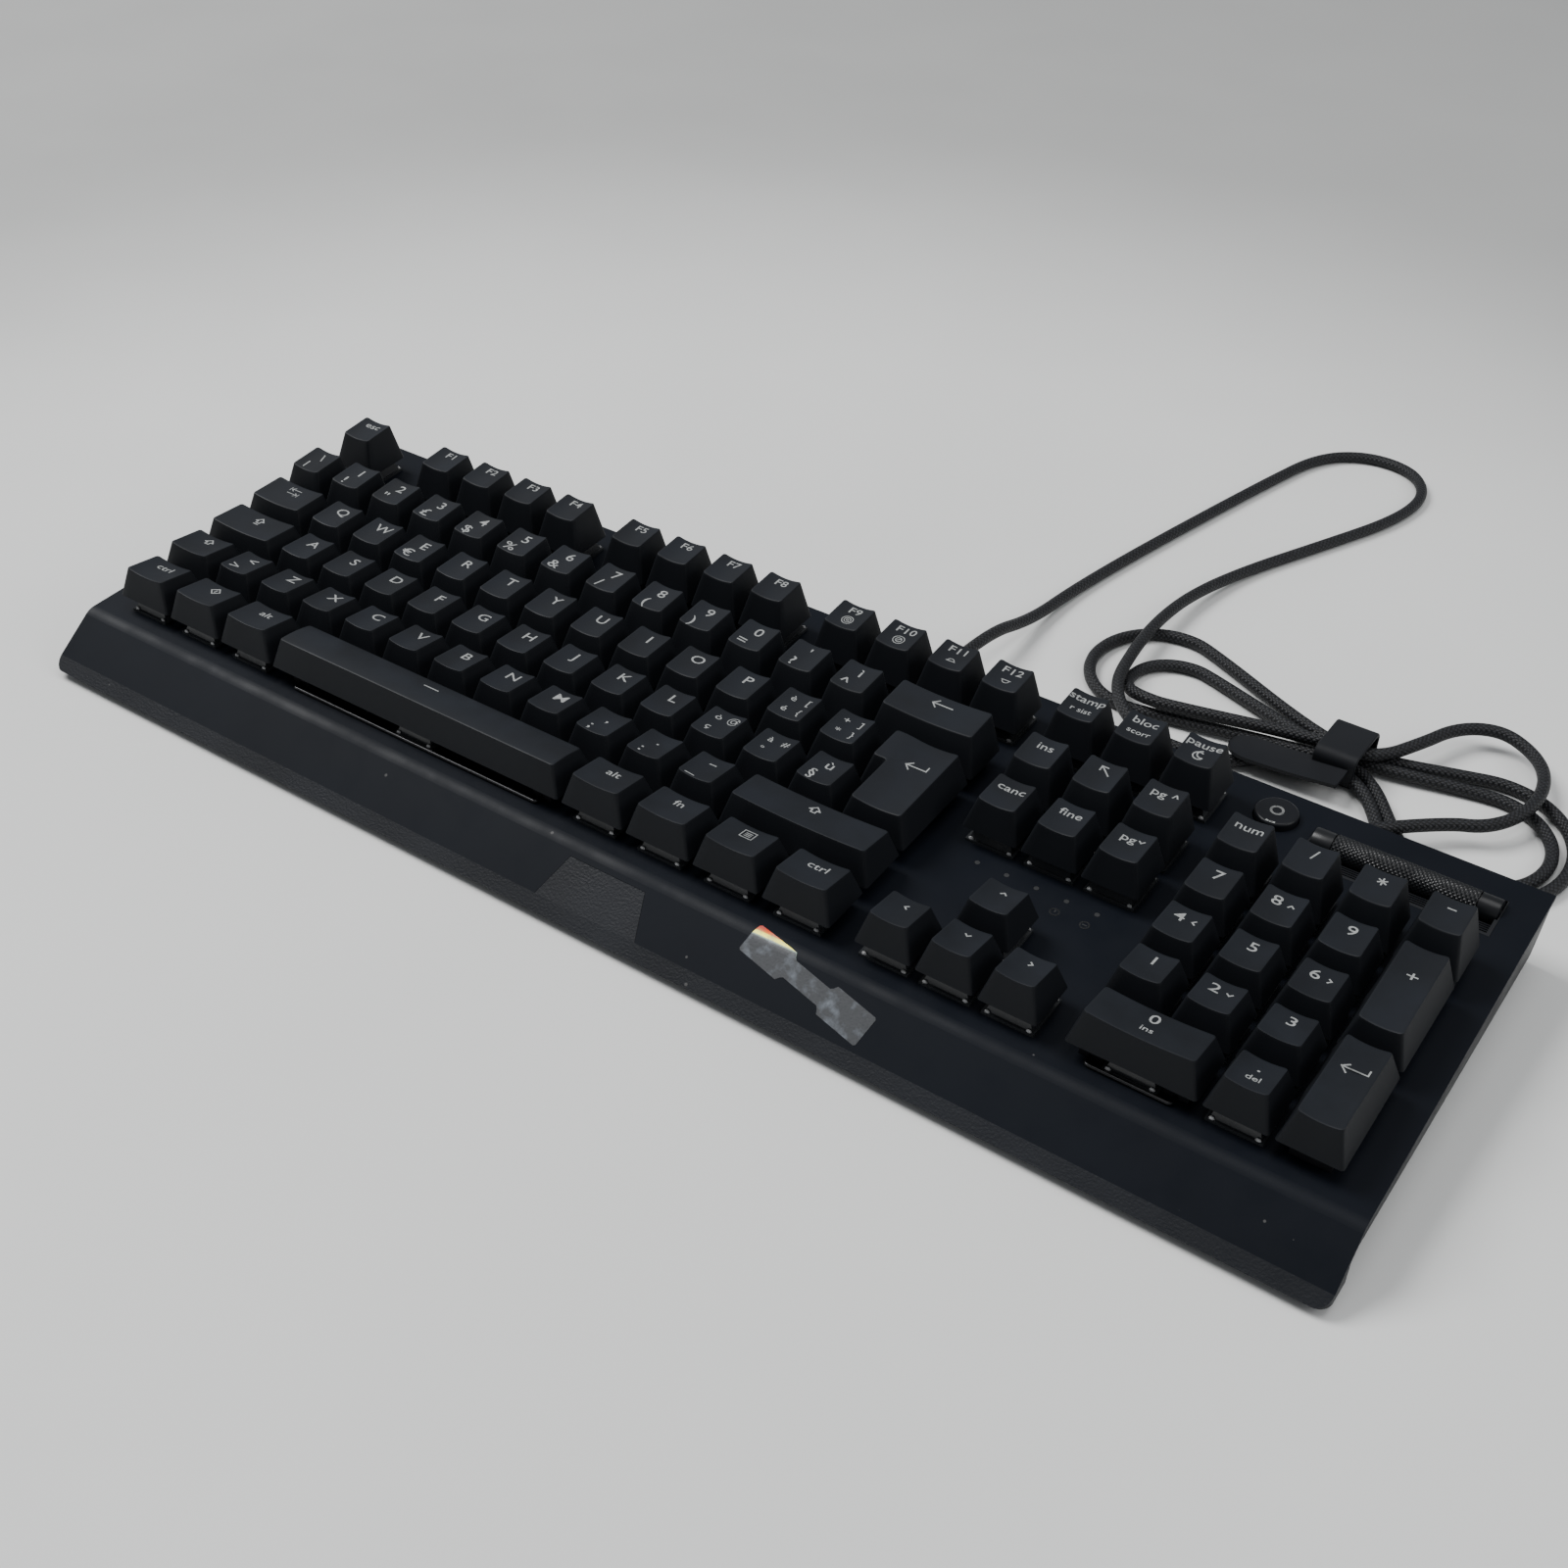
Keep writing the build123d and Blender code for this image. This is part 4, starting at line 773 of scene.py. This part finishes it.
class KEYBOARD_OT_stage(bpy.types.Operator):
    """Make the pale floor, the soft lamps and the camera"""

    bl_idname = "keyboard.stage"
    bl_label = "Stage"

    def execute(self, context):
        settings = context.scene.keyboard_stage
        self.floor(context, settings)
        self.lamps(context, settings)
        camera = bpy.data.objects.new("camera", bpy.data.cameras.new("camera"))
        camera.location = CAMERA_PLACE
        camera.rotation_euler = [math.radians(a) for a in CAMERA_TURN]
        camera.data.lens = CAMERA_LENS
        camera.data.shift_x, camera.data.shift_y = CAMERA_SHIFT
        context.scene.collection.objects.link(camera)
        context.scene.camera = camera
        return {"FINISHED"}

    def floor(self, context, settings):
        """Flat sheet on z = 0, a grid of x and y."""
        side = np.linspace(-FLOOR_HALF, FLOOR_HALF, FLOOR_CELLS + 1)
        x, y = np.meshgrid(side, side)
        points = np.stack([x, y, np.zeros_like(x)], -1)
        n = np.arange(x.size).reshape(x.shape)
        faces = np.stack([n[:-1, :-1], n[:-1, 1:], n[1:, 1:], n[1:, :-1]], -1).reshape(-1, 4)
        mesh = bpy.data.meshes.new("table")
        mesh.from_pydata(points.reshape(-1, 3), [], faces.tolist())
        mesh.materials.append(floor_material(settings.floor_colour))
        sheet = bpy.data.objects.new("table", mesh)
        context.scene.collection.objects.link(sheet)

    def lamps(self, context, settings):
        lamps = {
            "left_lamp": ((-1.5, -0.15, 2.0), 1.3, settings.lamp_power),
            "overhead_lamp": ((0.4, 0.1, 2.2), 1.5, 2.5 * settings.fill_power),
            "right_lamp": ((1.3, 0.25, 0.9), 0.8, settings.fill_power),
        }
        for name, (place, size, power) in lamps.items():
            lamp = bpy.data.lights.new(name, "AREA")
            lamp.shape, lamp.size, lamp.energy = "DISK", size, power
            holder = bpy.data.objects.new(name, lamp)
            holder.location = place
            aim = -np.array(place)
            holder.rotation_euler = (math.atan2(math.hypot(aim[0], aim[1]), -aim[2]), 0,
                                     math.atan2(aim[1], aim[0]) - math.pi / 2)
            context.scene.collection.objects.link(holder)
        world = context.scene.world or bpy.data.worlds.new("studio")
        context.scene.world = world
        world.use_nodes = True
        sky = world.node_tree.nodes["Background"]
        sky.inputs["Color"].default_value = SKY_COLOUR
        sky.inputs["Strength"].default_value = settings.sky_strength


# ---------------------------------------------------------------- keys
class KEYBOARD_OT_keycaps(bpy.types.Operator):
    """Build the keycaps with their legends, and the stems that carry them"""

    bl_idname = "keyboard.keycaps"
    bl_label = "Keycaps"

    def execute(self, context):
        settings = context.scene.keyboard_caps
        plastic = keycap_material(settings.cap_colour)
        legend = legend_material(tuple(settings.legend_colour))
        stem = moulded("stem_plastic", (0.5, 0.48, 0.44), 0.35, 0.2, 0.01)
        for body, (keys, texts) in KEYS.items():
            texts = texts.split()
            if len(keys) != len(texts):
                raise RuntimeError(f"{body} has {len(keys)} keys and {len(texts)} legends")
            caps, stems = [], []
            for key, text in zip(keys, texts):
                cap = Cap(key, settings)
                bosses, sliders = boss_and_stems(key, cap)
                own = [cap_shell(cap, settings), *bosses, *legend_parts(key, cap, text, settings)]
                caps += [placed(part, *centre_of(key)) for part in own]
                stems += [placed(part, *centre_of(key)) for part in sliders]
            add_piece(f"{body}_cap", caps, [plastic, legend], body, [body])
            own_node = [f"{body}_stems"] if f"{body}_stems" in frame["nodes"] else []
            add_piece(f"{body}_stem", stems, [stem], body, own_node)
        return {"FINISHED"}


LUG_SPOTS = ((-6.2, -7.2), (6.2, -7.2), (6.6, 7.2))  # from the middle of the switch
LUG_HALF_W, LUG_HALF_D, LUG_STEPS = 0.8, 0.45, 8
LUG_LEVELS = ((0.8, 1), (1.1, 1), (1.45, 0.75), (1.6, 0.3))


class KEYBOARD_OT_switch_lugs(bpy.types.Operator):
    """Add the small clear lugs at the front and back corners of every switch housing, coloured pale grey as
    painted glints
    """

    bl_idname = "keyboard.switch_lugs"
    bl_label = "Switch lugs"

    def execute(self, context):
        finish = Finish("lug_painted_glint")
        # painted glints: the lugs are a pale, uneven grey that stands for glints at the corners of the clear
        # housings
        glint_tone = finish.blotches(400, 0.35, 0.75)
        grey = finish.add("CombineColor", {"Red": glint_tone, "Green": glint_tone, "Blue": glint_tone})
        clear = finish.done(grey.outputs[0], 0.12)
        oval = np.array(circle(1, steps=LUG_STEPS)[:-1]) * (LUG_HALF_W, LUG_HALF_D)
        lug = prism(oval, LUG_LEVELS)
        keys = [key for group, _ in KEYS.values() for key in group]
        parts = [placed(lug, *(centre_of(key) + (x, y, 0))) for key in keys for x, y in LUG_SPOTS]
        add_piece("switch_lugs", parts, [clear], "case")
        return {"FINISHED"}


# ---------------------------------------------------------------- volume roller and media button
ROLLER_R, KNURL_W, ROLLER_CAP_W = 4.2, 42.0, 6.4
KNURL_COUNT, KNURL_PITCH, KNURL_DEPTH = 20, 1.32, 0.32
KNURL_STEPS = 190  # rings along the knurl
ROLLER_EDGE, GROOVE_W, GROOVE_DEPTH, GROOVE_WALL = 0.5, 0.3, 0.9, 0.05  # rounded ends, grooves by the knurl
AXLE_R = 1.2


class KEYBOARD_OT_roller(bpy.types.Operator):
    """Build the volume roller: a knurled barrel between two smooth ends, on its axle"""

    bl_idname = "keyboard.roller"
    bl_label = "Volume roller"

    def execute(self, context):
        low, high = node_box("volume_roller")
        middle, half_axle = (low + high) / 2, (high[0] - low[0]) / 2
        knurl, half = KNURL_W / 2, KNURL_W / 2 + ROLLER_CAP_W
        smooth_r, edge, bevel = ROLLER_R - 0.2, ROLLER_EDGE, 0.3 * ROLLER_EDGE
        groove_r = smooth_r - GROOVE_DEPTH
        ends = [(-half_axle, 0.5 * AXLE_R), (-half_axle, AXLE_R), (-half, AXLE_R), (-half, smooth_r - edge),
                (-half + bevel, smooth_r - bevel), (-half + edge, smooth_r),
                (-knurl - GROOVE_W - GROOVE_WALL, smooth_r), (-knurl - GROOVE_W, groove_r),
                (-knurl - GROOVE_WALL, groove_r)]
        knurl_x = np.linspace(-knurl, knurl, KNURL_STEPS)
        stations = np.vstack([ends, np.column_stack([knurl_x, np.full(KNURL_STEPS, ROLLER_R)]),
                              [(-x, r) for x, r in ends[::-1]]])
        x, radius = stations.T
        a = np.linspace(0, 2 * np.pi, 4 * KNURL_COUNT, endpoint=False)
        # two crossing helices: a diamond rises where |sin|·|sin| of their phases is high
        phase = np.pi * x[:, None] / KNURL_PITCH
        turn = KNURL_COUNT / 2 * a[None, :]
        height = np.abs(np.sin(turn + phase)) * np.abs(np.sin(turn - phase))
        knurled = (np.abs(x) <= knurl)[:, None]
        r = radius[:, None] - knurled * KNURL_DEPTH * (1 - height)
        rings = np.stack(np.broadcast_arrays(x[:, None], r * np.cos(a), r * np.sin(a)), -1) + middle
        plastic = moulded("roller_plastic", (0.009, 0.0098, 0.0115), 0.32, 0.3, 0.01, specular=0.35)
        add_piece("roller_barrel", [shell(rings)], [plastic], "volume_roller",
                  ["volume_roller"], sharp=math.radians(30))
        return {"FINISHED"}


MEDIA_PLACE = (147.4, 118.9, 2.4)
MARK_SPOTS, MARK_Y = (113.6, 122.9), 46.7
MARKS = ([circle(1.3), [(0, 0.7), (0, 0.1)]], [circle(1.3), [(-0.5, 0), (0.5, 0)]])


class KEYBOARD_OT_symbols(bpy.types.Operator):
    """Print the ring of the media button and the two faint marks under the indicator lamps"""

    bl_idname = "keyboard.symbols"
    bl_label = "Plate symbols"

    def execute(self, context):
        settings = context.scene.keyboard_caps
        pen = settings.pen_width / MM
        ring = strokes([circle(1.75, steps=28), circle(5.7, 0, 0, 262, 284, 3)], 1.5 * pen, paint=0)
        add_piece("media_ring", [placed(part, *MEDIA_PLACE) for part in ring],
                  [legend_material(tuple(settings.legend_colour))], "media_button")
        faint = moulded("faint_print", (0.025, 0.026, 0.028), 0.5, 0.3, 0.01)
        parts = [placed(part, x, MARK_Y, 0) for lines, x in zip(MARKS, MARK_SPOTS)
                 for part in strokes(lines, pen, paint=0)]
        add_piece("lamp_marks", parts, [faint], "case")
        return {"FINISHED"}


# ---------------------------------------------------------------- foil seal on the apron
APRON_ANGLE = math.atan2(-SEAM_Z, BEND_Y - SEAM_Y)
SEAL_START, SEAL_END = np.array([48.65, 2.0]), np.array([91.8, 11.8])  # x, distance down from the bend
SEAL_PAD, SEAL_NECK, SEAL_T = 4.75, 2.9, 0.09
SEAL_PAD_L, SEAL_SHOULDER = 14.2, 1.2
SEAL_TIP, SEAL_GAP = 0.5, 0.01  # how far and how much the ends narrow, and its height over the plate
SEAL_STEPS, SEAL_COLUMNS = 60, 11


def over_bend(x, down, height):
    """Row-frame place over the plate's rounded bend: flat before it, an arc round its centre across it, and
    the sloping apron after it, each lifted by a height along its own normal."""
    tangent = BEND_R * math.tan(APRON_ANGLE / 2)
    a = np.clip((down + tangent) / (2 * tangent), 0, 1) * APRON_ANGLE
    lead, tail = np.minimum(down + tangent, 0), np.maximum(down - tangent, 0)
    y = BEND_Y + tangent - (BEND_R + height) * np.sin(a) - lead - tail * math.cos(APRON_ANGLE)
    z = -BEND_R + (BEND_R + height) * np.cos(a) - tail * math.sin(APRON_ANGLE)
    return on_deck(np.stack([x, y, z], -1))


class KEYBOARD_OT_seal(bpy.types.Operator):
    """Stick the blank, dumbbell-shaped foil seal over the plate's bend"""

    bl_idname = "keyboard.seal"
    bl_label = "Foil seal"

    def execute(self, context):
        run = SEAL_END - SEAL_START
        length = np.linalg.norm(run)
        along = run / length
        across = np.array([-along[1], along[0]])
        s = np.unique(np.concatenate([np.linspace(0, length, SEAL_STEPS),
                                      [SEAL_PAD_L, length - SEAL_PAD_L, SEAL_TIP, length - SEAL_TIP]]))
        # half width: the pad's, falling to the neck's over the shoulder, and slightly less at the very ends
        inward = np.minimum(s, length - s)
        shoulder = np.clip((inward - SEAL_PAD_L) / SEAL_SHOULDER, 0, 1)
        tip = SEAL_TIP * np.clip(1 - inward / SEAL_TIP, 0, 1)
        half = SEAL_PAD + (SEAL_NECK - SEAL_PAD) * shoulder - tip
        v = np.linspace(-1, 1, SEAL_COLUMNS)
        flat = SEAL_START + s[:, None, None] * along + (half[:, None] * v)[..., None] * across
        upper = over_bend(flat[..., 0], flat[..., 1], SEAL_T)
        lower = over_bend(flat[..., 0], flat[..., 1], SEAL_GAP)
        part = slab_between(upper, lower)
        u_of = np.concatenate([np.repeat(s / length, 2 * SEAL_COLUMNS), [0, 1]])
        v_of = np.concatenate([np.tile(np.concatenate([(v + 1) / 2, (v[::-1] + 1) / 2]), len(s)), [0.5, 0.5]])
        corners = np.concatenate([block.reshape(-1) for block in part["faces"]])
        part["corner_uv"] = np.stack([u_of[corners], v_of[corners]], -1)
        add_piece("foil_seal", [part], [foil_material()], "case")
        return {"FINISHED"}


# ---------------------------------------------------------------- cable, gland, tie and plug
CORD_D, BRAID_PITCH, BRAID_COUNT = 4.2, 1.9, 8
LAID = CORD_D / 2 + 0.05  # height of the cord's middle on the table
OVER = LAID + CORD_D + 0.4  # where it lies over another strand
gland_low, gland_high = node_box("cable_gland")
GLAND_X, GLAND_Z = (gland_low[0] + gland_high[0]) / 2, (gland_low[2] + gland_high[2]) / 2
CORD_EXIT = (GLAND_X, gland_high[1], GLAND_Z)
CORD_ROUTE = [
    CORD_EXIT,
    (22, 118, 12.5),
    (24.5, 146, 4.5),
    (25.5, 176, LAID),
    (32, 214, LAID),
    (40.5, 256, LAID),
    (49, 296, LAID),
    (57, 329, LAID),
    (73, 343, LAID),
    (93, 341, LAID),
    (104, 324, LAID),
    (101, 298, LAID),
    (86, 263, LAID),
    (70, 227, LAID),
    (63, 196, LAID + 2.6),
    (62, 170, OVER),
    (63.5, 148, OVER),
    (68, 122, OVER),
    (86, 105, OVER - 1.5),
    (113, 110, LAID + 0.5),
]
TIE_X, TIE_REACH = 145.0, 9.5  # middle of the tie, and how far each side of it the strands run straight
TIE_LOW, TIE_HIGH = LAID + 1.45, LAID + 1.45 + CORD_D  # heights of the strands inside the tie
LOOP_POINTS = 11
# Loops of the hank, in order: middle, radii, first and last angle in degrees, heights evenly spaced along
# the loop, and the strand's place across the tie after the loop.
LOOPS = [
    ((193, 122), (29, 33), -134, 118, (LAID, LAID), (140.7, TIE_LOW)),
    ((74, 146), (23, 25.5), 68, 288, (LAID, LAID), (132.2, TIE_LOW)),
    ((192.5, 121), (23.5, 25), -146, 104, (LAID, LAID), (136.4, TIE_LOW)),
    ((84, 139), (16.5, 16.5), 72, 282,
     (LAID, LAID, LAID, LAID, LAID, LAID + 0.8, LAID + 3, OVER + 0.4, OVER + 0.4), (134.3, TIE_HIGH)),
    ((183.5, 147), (20, 29), 165, -84, (OVER + 0.6, OVER, OVER, LAID + 3, OVER, OVER, OVER, OVER), None),
]
TIE_ENTRY = (127.0, TIE_LOW)
PLUG_Y, PLUG_Z, PLUG_X, PLUG_L, PLUG_CONE = 93.0, 4.5, 92.0, 32.0, 14.0
LAST_STRETCH = [(170, 103.5, OVER + 0.4), (162, 97.5, OVER - 1.6), (152, 94, PLUG_Z), (144, PLUG_Y, PLUG_Z),
                (PLUG_X + PLUG_L + PLUG_CONE - 1, PLUG_Y, PLUG_Z)]


def hank_points():
    """Control points of the hank's turns: from the tie, round each loop along part of an ellipse, and back
    through the tie, alternately at its right and left."""
    points = [(TIE_X - 22, 120, LAID + 0.6), (TIE_X - TIE_REACH, *TIE_ENTRY), (TIE_X + TIE_REACH, *TIE_ENTRY)]
    for centre, radii, first, last, heights, slot in LOOPS:
        share = np.linspace(0, 1, LOOP_POINTS)
        a = np.radians(first + (last - first) * share)
        z = np.interp(share, np.linspace(0, 1, len(heights)), heights)
        loop = np.column_stack([centre[0] + radii[0] * np.cos(a), centre[1] + radii[1] * np.sin(a), z])
        points += [tuple(p) for p in loop]
        if slot:
            side = 1 if centre[0] > TIE_X else -1
            points += [(TIE_X + side * TIE_REACH, *slot), (TIE_X - side * TIE_REACH, *slot)]
    return points


def spline_line(points):
    """The smooth line of an open NURBS spline with these control points (mm), read back as its own points."""
    curve = bpy.data.curves.new("cord_line", "CURVE")
    curve.dimensions, curve.resolution_u = "3D", 10
    spline = curve.splines.new("NURBS")
    spline.points.add(len(points) - 1)
    spline.points.foreach_set("co", np.column_stack([np.array(points) * MM, np.ones(len(points))]).ravel())
    spline.order_u = 3
    spline.use_endpoint_u = True
    return read_mesh(curve)[0] / MM


def tube(line, radius, sides=14):
    """Tube about a line: each ring lies square to it, point = line + r·(side·cos a + up·sin a), where side is
    level. Corner coordinates run with the length in metres and with the share of a turn."""
    ahead = np.gradient(line, axis=0)
    ahead /= np.linalg.norm(ahead, axis=1, keepdims=True)
    side = np.cross(ahead, [0, 0, 1])
    side /= np.linalg.norm(side, axis=1, keepdims=True)
    up = np.cross(side, ahead)
    a = np.linspace(0, 2 * np.pi, sides, endpoint=False)[:, None]
    rings = line[:, None] + radius * (side[:, None] * np.cos(a) + up[:, None] * np.sin(a))
    part = shell(rings)
    run = np.concatenate([[0], np.cumsum(np.linalg.norm(np.diff(line, axis=0), axis=1))]) * MM
    u = np.concatenate([np.repeat(run, sides), [0, run[-1]]])
    v = np.concatenate([np.tile(np.arange(sides) / sides, len(line)), [0, 0]])
    corner_uv = []
    for block in part["faces"]:
        corners = np.stack([u[block], v[block]], -1)
        wraps = (v[block].max(1) - v[block].min(1) > 0.5)[:, None] & (v[block] < 0.5)
        corners[..., 1] += wraps
        corner_uv.append(corners.reshape(-1, 2))
    part["corner_uv"] = np.concatenate(corner_uv)
    return part, run[-1]


class KEYBOARD_OT_cable(bpy.types.Operator):
    """Lay the braided cable, tie its hank, and fit its gland and plug"""

    bl_idname = "keyboard.cable"
    bl_label = "Cable"

    def execute(self, context):
        settings = context.scene.keyboard_body
        rubber = moulded("soft_rubber", settings.tie_colour, 0.6, 0.25, 0.02)
        gland = self.gland(rubber)
        tie = self.tie(rubber)
        plug = self.plug(settings)
        line = spline_line(CORD_ROUTE + hank_points() + LAST_STRETCH)
        part, length = tube(line, CORD_D / 2)
        cable = add_piece("braided_cable", [part], [braid_material(settings.cable_colour)], "case",
                          ["cable_run", "cable_hank"], sharp=math.radians(80))
        return {"FINISHED"}

    def gland(self, rubber):
        """Strain relief turned about the cable: a flange each side of the wall, and a grooved taper."""
        wall, taper_start, boot, inner_flange = 2.6, 1.6, 16.0, 2.0
        bore_r, neck_r, flange_r, collar_r, taper_r, tip_r = 2.5, 3.95, 5.2, 4.9, 3.7, CORD_D / 2 + 0.5
        groove_pitch, groove_depth = 2.4, 0.32
        y = np.linspace(taper_start, boot, 60)
        taper = taper_r + (tip_r - taper_r) * (y - taper_start) / (boot - taper_start)
        groove = groove_depth * (np.sin(2 * np.pi * (y - taper_start) / groove_pitch) < -0.2)
        head = [(-wall - inner_flange, bore_r), (-wall - inner_flange, flange_r), (-wall, flange_r),
                (-wall, neck_r), (0, neck_r), (0, collar_r - 0.2), (0.3, collar_r),
                (taper_start - 0.3, collar_r), (taper_start, collar_r - 0.3)]
        part = revolved(np.vstack([head, np.column_stack([y, taper - groove])]), 32)
        back = CORD_EXIT[1] - boot

        def upright(points):
            return np.column_stack([GLAND_X - points[:, 1], back + points[:, 0], GLAND_Z + points[:, 2]])

        return add_piece("cable_boot", [moved(part, upright)], [rubber], "case", ["cable_gland"])

    def tie(self, rubber):
        """Rubber strap: a belt round the strands, its section a rounded strip, and a tongue whose half width
        is constant and then follows a half circle, on a line that sinks a little."""
        low, high = node_box("cable_tie")
        belt_y, belt_w, belt_t, belt_corner, belt_half = 134.0, 21.8, 1.4, 3.4, 7.0
        belt_h, middle_z = high[2] - low[2], (low[2] + high[2]) / 2
        outer = rounded_outline(rectangle(belt_w, belt_h), belt_corner, 6, 6)
        inner = rounded_outline(rectangle(belt_w - 2 * belt_t, belt_h - 2 * belt_t), belt_corner - belt_t,
                                6, 6)
        edge = belt_half - 0.3
        strip = [(-belt_half, 0.2), (-edge, 0), (edge, 0), (belt_half, 0.2), (belt_half, 0.8), (edge, 1),
                 (-edge, 1), (-belt_half, 0.8)]
        rings = [np.column_stack([np.full(len(outer), TIE_X + x), outer * (1 - t) + inner * t])
                 for x, t in strip]
        belt = shifted(hoop(np.swapaxes(np.array(rings), 0, 1)), 0, belt_y, middle_z)
        straight, end_r, tongue_t, tongue_y, tongue_z = 30, 7.5, 1.3, 119.4, 8.0
        s = np.concatenate([np.linspace(0, straight, 12),
                            straight + end_r * np.sin(np.linspace(0.15, 1.5, 9))])
        round_half = np.sqrt(np.clip(end_r**2 - (s - straight) ** 2, 0.2, None))
        half = np.where(s <= straight, end_r, round_half)
        s, half, v = s[:, None], half[:, None], np.linspace(-1, 1, 9)
        y = tongue_y - 0.05 * s + 0.86 * half * v
        z = tongue_z - 1.6 * np.sin(2.2 * s / (straight + end_r)) + 0.5 * v**2
        upper = np.stack(np.broadcast_arrays(TIE_X + 5 - s, y, z), -1)
        tongue = slab_between(upper, upper - (0, 0, tongue_t))
        return add_piece("rubber_tie", [belt, tongue], [rubber], "case", ["cable_tie"])

    def plug(self, settings):
        """Moulded plug: rounded sections carried along x that narrow to a cone, with grip grooves."""
        body_w, body_h, neck_r, cone_r = 8, 4.2, 3.6, 2.6  # half sizes
        blend, front = 3, 0.9  # lengths over which the neck narrows and the front end rounds
        x = np.concatenate([[0, 0.3, front], np.linspace(2, PLUG_L - blend, 34),
                            np.linspace(PLUG_L - 2.4, PLUG_L, 6),
                            np.linspace(PLUG_L + 0.6, PLUG_L + PLUG_CONE, 20)])
        shoulder = np.clip((x - (PLUG_L - blend)) / blend, 0, 1)
        cone = np.clip((x - PLUG_L) / PLUG_CONE, 0, 1)
        round_start = 0.6 * np.clip(1 - x / front, 0, 1)
        grip = 0.35 * ((np.sin(x * 2.1) < -0.3) & (x > 12) & (x < 26))
        relief = 0.3 * ((np.sin(x * 2.6) < -0.3) & (x > PLUG_L + 1))
        narrowing = (cone_r - neck_r) * cone - round_start - relief
        half_w = body_w + (neck_r - body_w) * shoulder + narrowing - grip
        half_h = body_h + (neck_r - body_h) * shoulder + narrowing - 0.3 * grip
        power = 5 - 3 * shoulder[:, None]  # superellipse: nearly a rectangle at the body, round at the cone
        a = np.linspace(0, 2 * np.pi, 40, endpoint=False)
        across, height = (np.sign(wave) * np.abs(wave) ** (2 / power) for wave in (np.cos(a), np.sin(a)))
        rings = np.stack(np.broadcast_arrays(x[:, None], half_w[:, None] * across, half_h[:, None] * height),
                         -1)
        plastic = moulded("plug_plastic", settings.case_colour, 0.45, 0.25, 0.02)
        part = shifted(shell(rings), PLUG_X, PLUG_Y, PLUG_Z)
        return add_piece("plug_body", [part], [plastic], "case", ["usb_plug"])


# ---------------------------------------------------------------- finishes of the CAD pieces that stay
class KEYBOARD_OT_finishes(bpy.types.Operator):
    """Give every CAD piece that is shown its own material"""

    bl_idname = "keyboard.finishes"
    bl_label = "Finishes"

    def execute(self, context):
        settings = context.scene.keyboard_body
        case = moulded("case_plastic", settings.case_colour, 0.5, 0.35, 0.03)
        steel = moulded("plain_steel", (0.55, 0.55, 0.56), 0.3, 0.2, 0.005, metallic=1)
        dark = moulded("dark_moulding", (0.012, 0.012, 0.014), 0.45, 0.3, 0.02)
        finishes = {
            "top_plate": moulded("anodised_plate", settings.plate_colour, 0.5, 0.22, 0.02, spread=0.1,
                                 dust=0.035, specular=0.14),
            "front_trim": moulded("pebbled_plastic", tinted(settings.case_colour, 1.8), 0.5, 0.7, 0.2,
                                  dust=0.01),
            "bottom_case": case,
            "roller_cradle": moulded("ribbed_plastic", (0.016, 0.017, 0.02), 0.4, 0.3, 0.02),
            "left_foot": case,
            "right_foot": case,
            "media_button": moulded("button_plastic", (0.009, 0.01, 0.0125), 0.38, 0.3, 0.01),
            "circuit_board": moulded("solder_mask", (0.012, 0.03, 0.018), 0.35, 0.8, 0.02),
            "switch_bases": dark,
            "stabiliser_housings": dark,
            "switch_tops": moulded("smoky_housing", (0.03, 0.032, 0.035), 0.25, 0.4, 0.01, specular=0.4),
            "stabiliser_wires": moulded("blackened_steel", (0.05, 0.05, 0.052), 0.35, 0.2, 0.005, metallic=1),
            "case_screws": steel,
            "foot_pins": steel,
            "usb_shell": steel,
            "plate_standoffs": moulded("brass", (0.6, 0.45, 0.2), 0.3, 0.2, 0.005, metallic=1),
            "rubber_pads": moulded("pad_rubber", (0.018, 0.018, 0.019), 0.75, 0.3, 0.03),
            "indicator_lenses": moulded("lamp_lens", (0.035, 0.036, 0.038), 0.2, 0.3, 0.005, specular=0.5),
        }
        for name, material in finishes.items():
            mesh = frame["nodes"][name].data
            mesh.materials.clear()
            mesh.materials.append(material)
        return {"FINISHED"}


OPERATORS = (KEYBOARD_OT_stage, KEYBOARD_OT_cable, KEYBOARD_OT_keycaps, KEYBOARD_OT_switch_lugs,
             KEYBOARD_OT_roller, KEYBOARD_OT_symbols, KEYBOARD_OT_seal, KEYBOARD_OT_finishes)


class KEYBOARD_PT_panel(bpy.types.Panel):
    """Sidebar panel with the settings and the steps"""

    bl_idname = "KEYBOARD_PT_panel"
    bl_label = "Keyboard"
    bl_space_type = "VIEW_3D"
    bl_region_type = "UI"
    bl_category = "Keyboard"

    def draw(self, context):
        for group in SETTINGS:
            settings = getattr(context.scene, group)
            column = self.layout.column()
            for name in settings.__annotations__:
                column.prop(settings, name)
        for operator in OPERATORS:
            self.layout.operator(operator.bl_idname)


def register():
    for cls in (*SETTINGS.values(), *OPERATORS, KEYBOARD_PT_panel):
        bpy.utils.register_class(cls)
    for name, group in SETTINGS.items():
        setattr(bpy.types.Scene, name, PointerProperty(type=group))


def unregister():
    for name in SETTINGS:
        delattr(bpy.types.Scene, name)
    for cls in reversed((*SETTINGS.values(), *OPERATORS, KEYBOARD_PT_panel)):
        bpy.utils.unregister_class(cls)


def main():
    register()
    bpy.ops.keyboard.stage()
    bpy.ops.keyboard.cable()
    bpy.ops.keyboard.keycaps()
    bpy.ops.keyboard.switch_lugs()
    bpy.ops.keyboard.roller()
    bpy.ops.keyboard.symbols()
    bpy.ops.keyboard.seal()
    bpy.ops.keyboard.finishes()


if __name__ == "__main__":
    main()
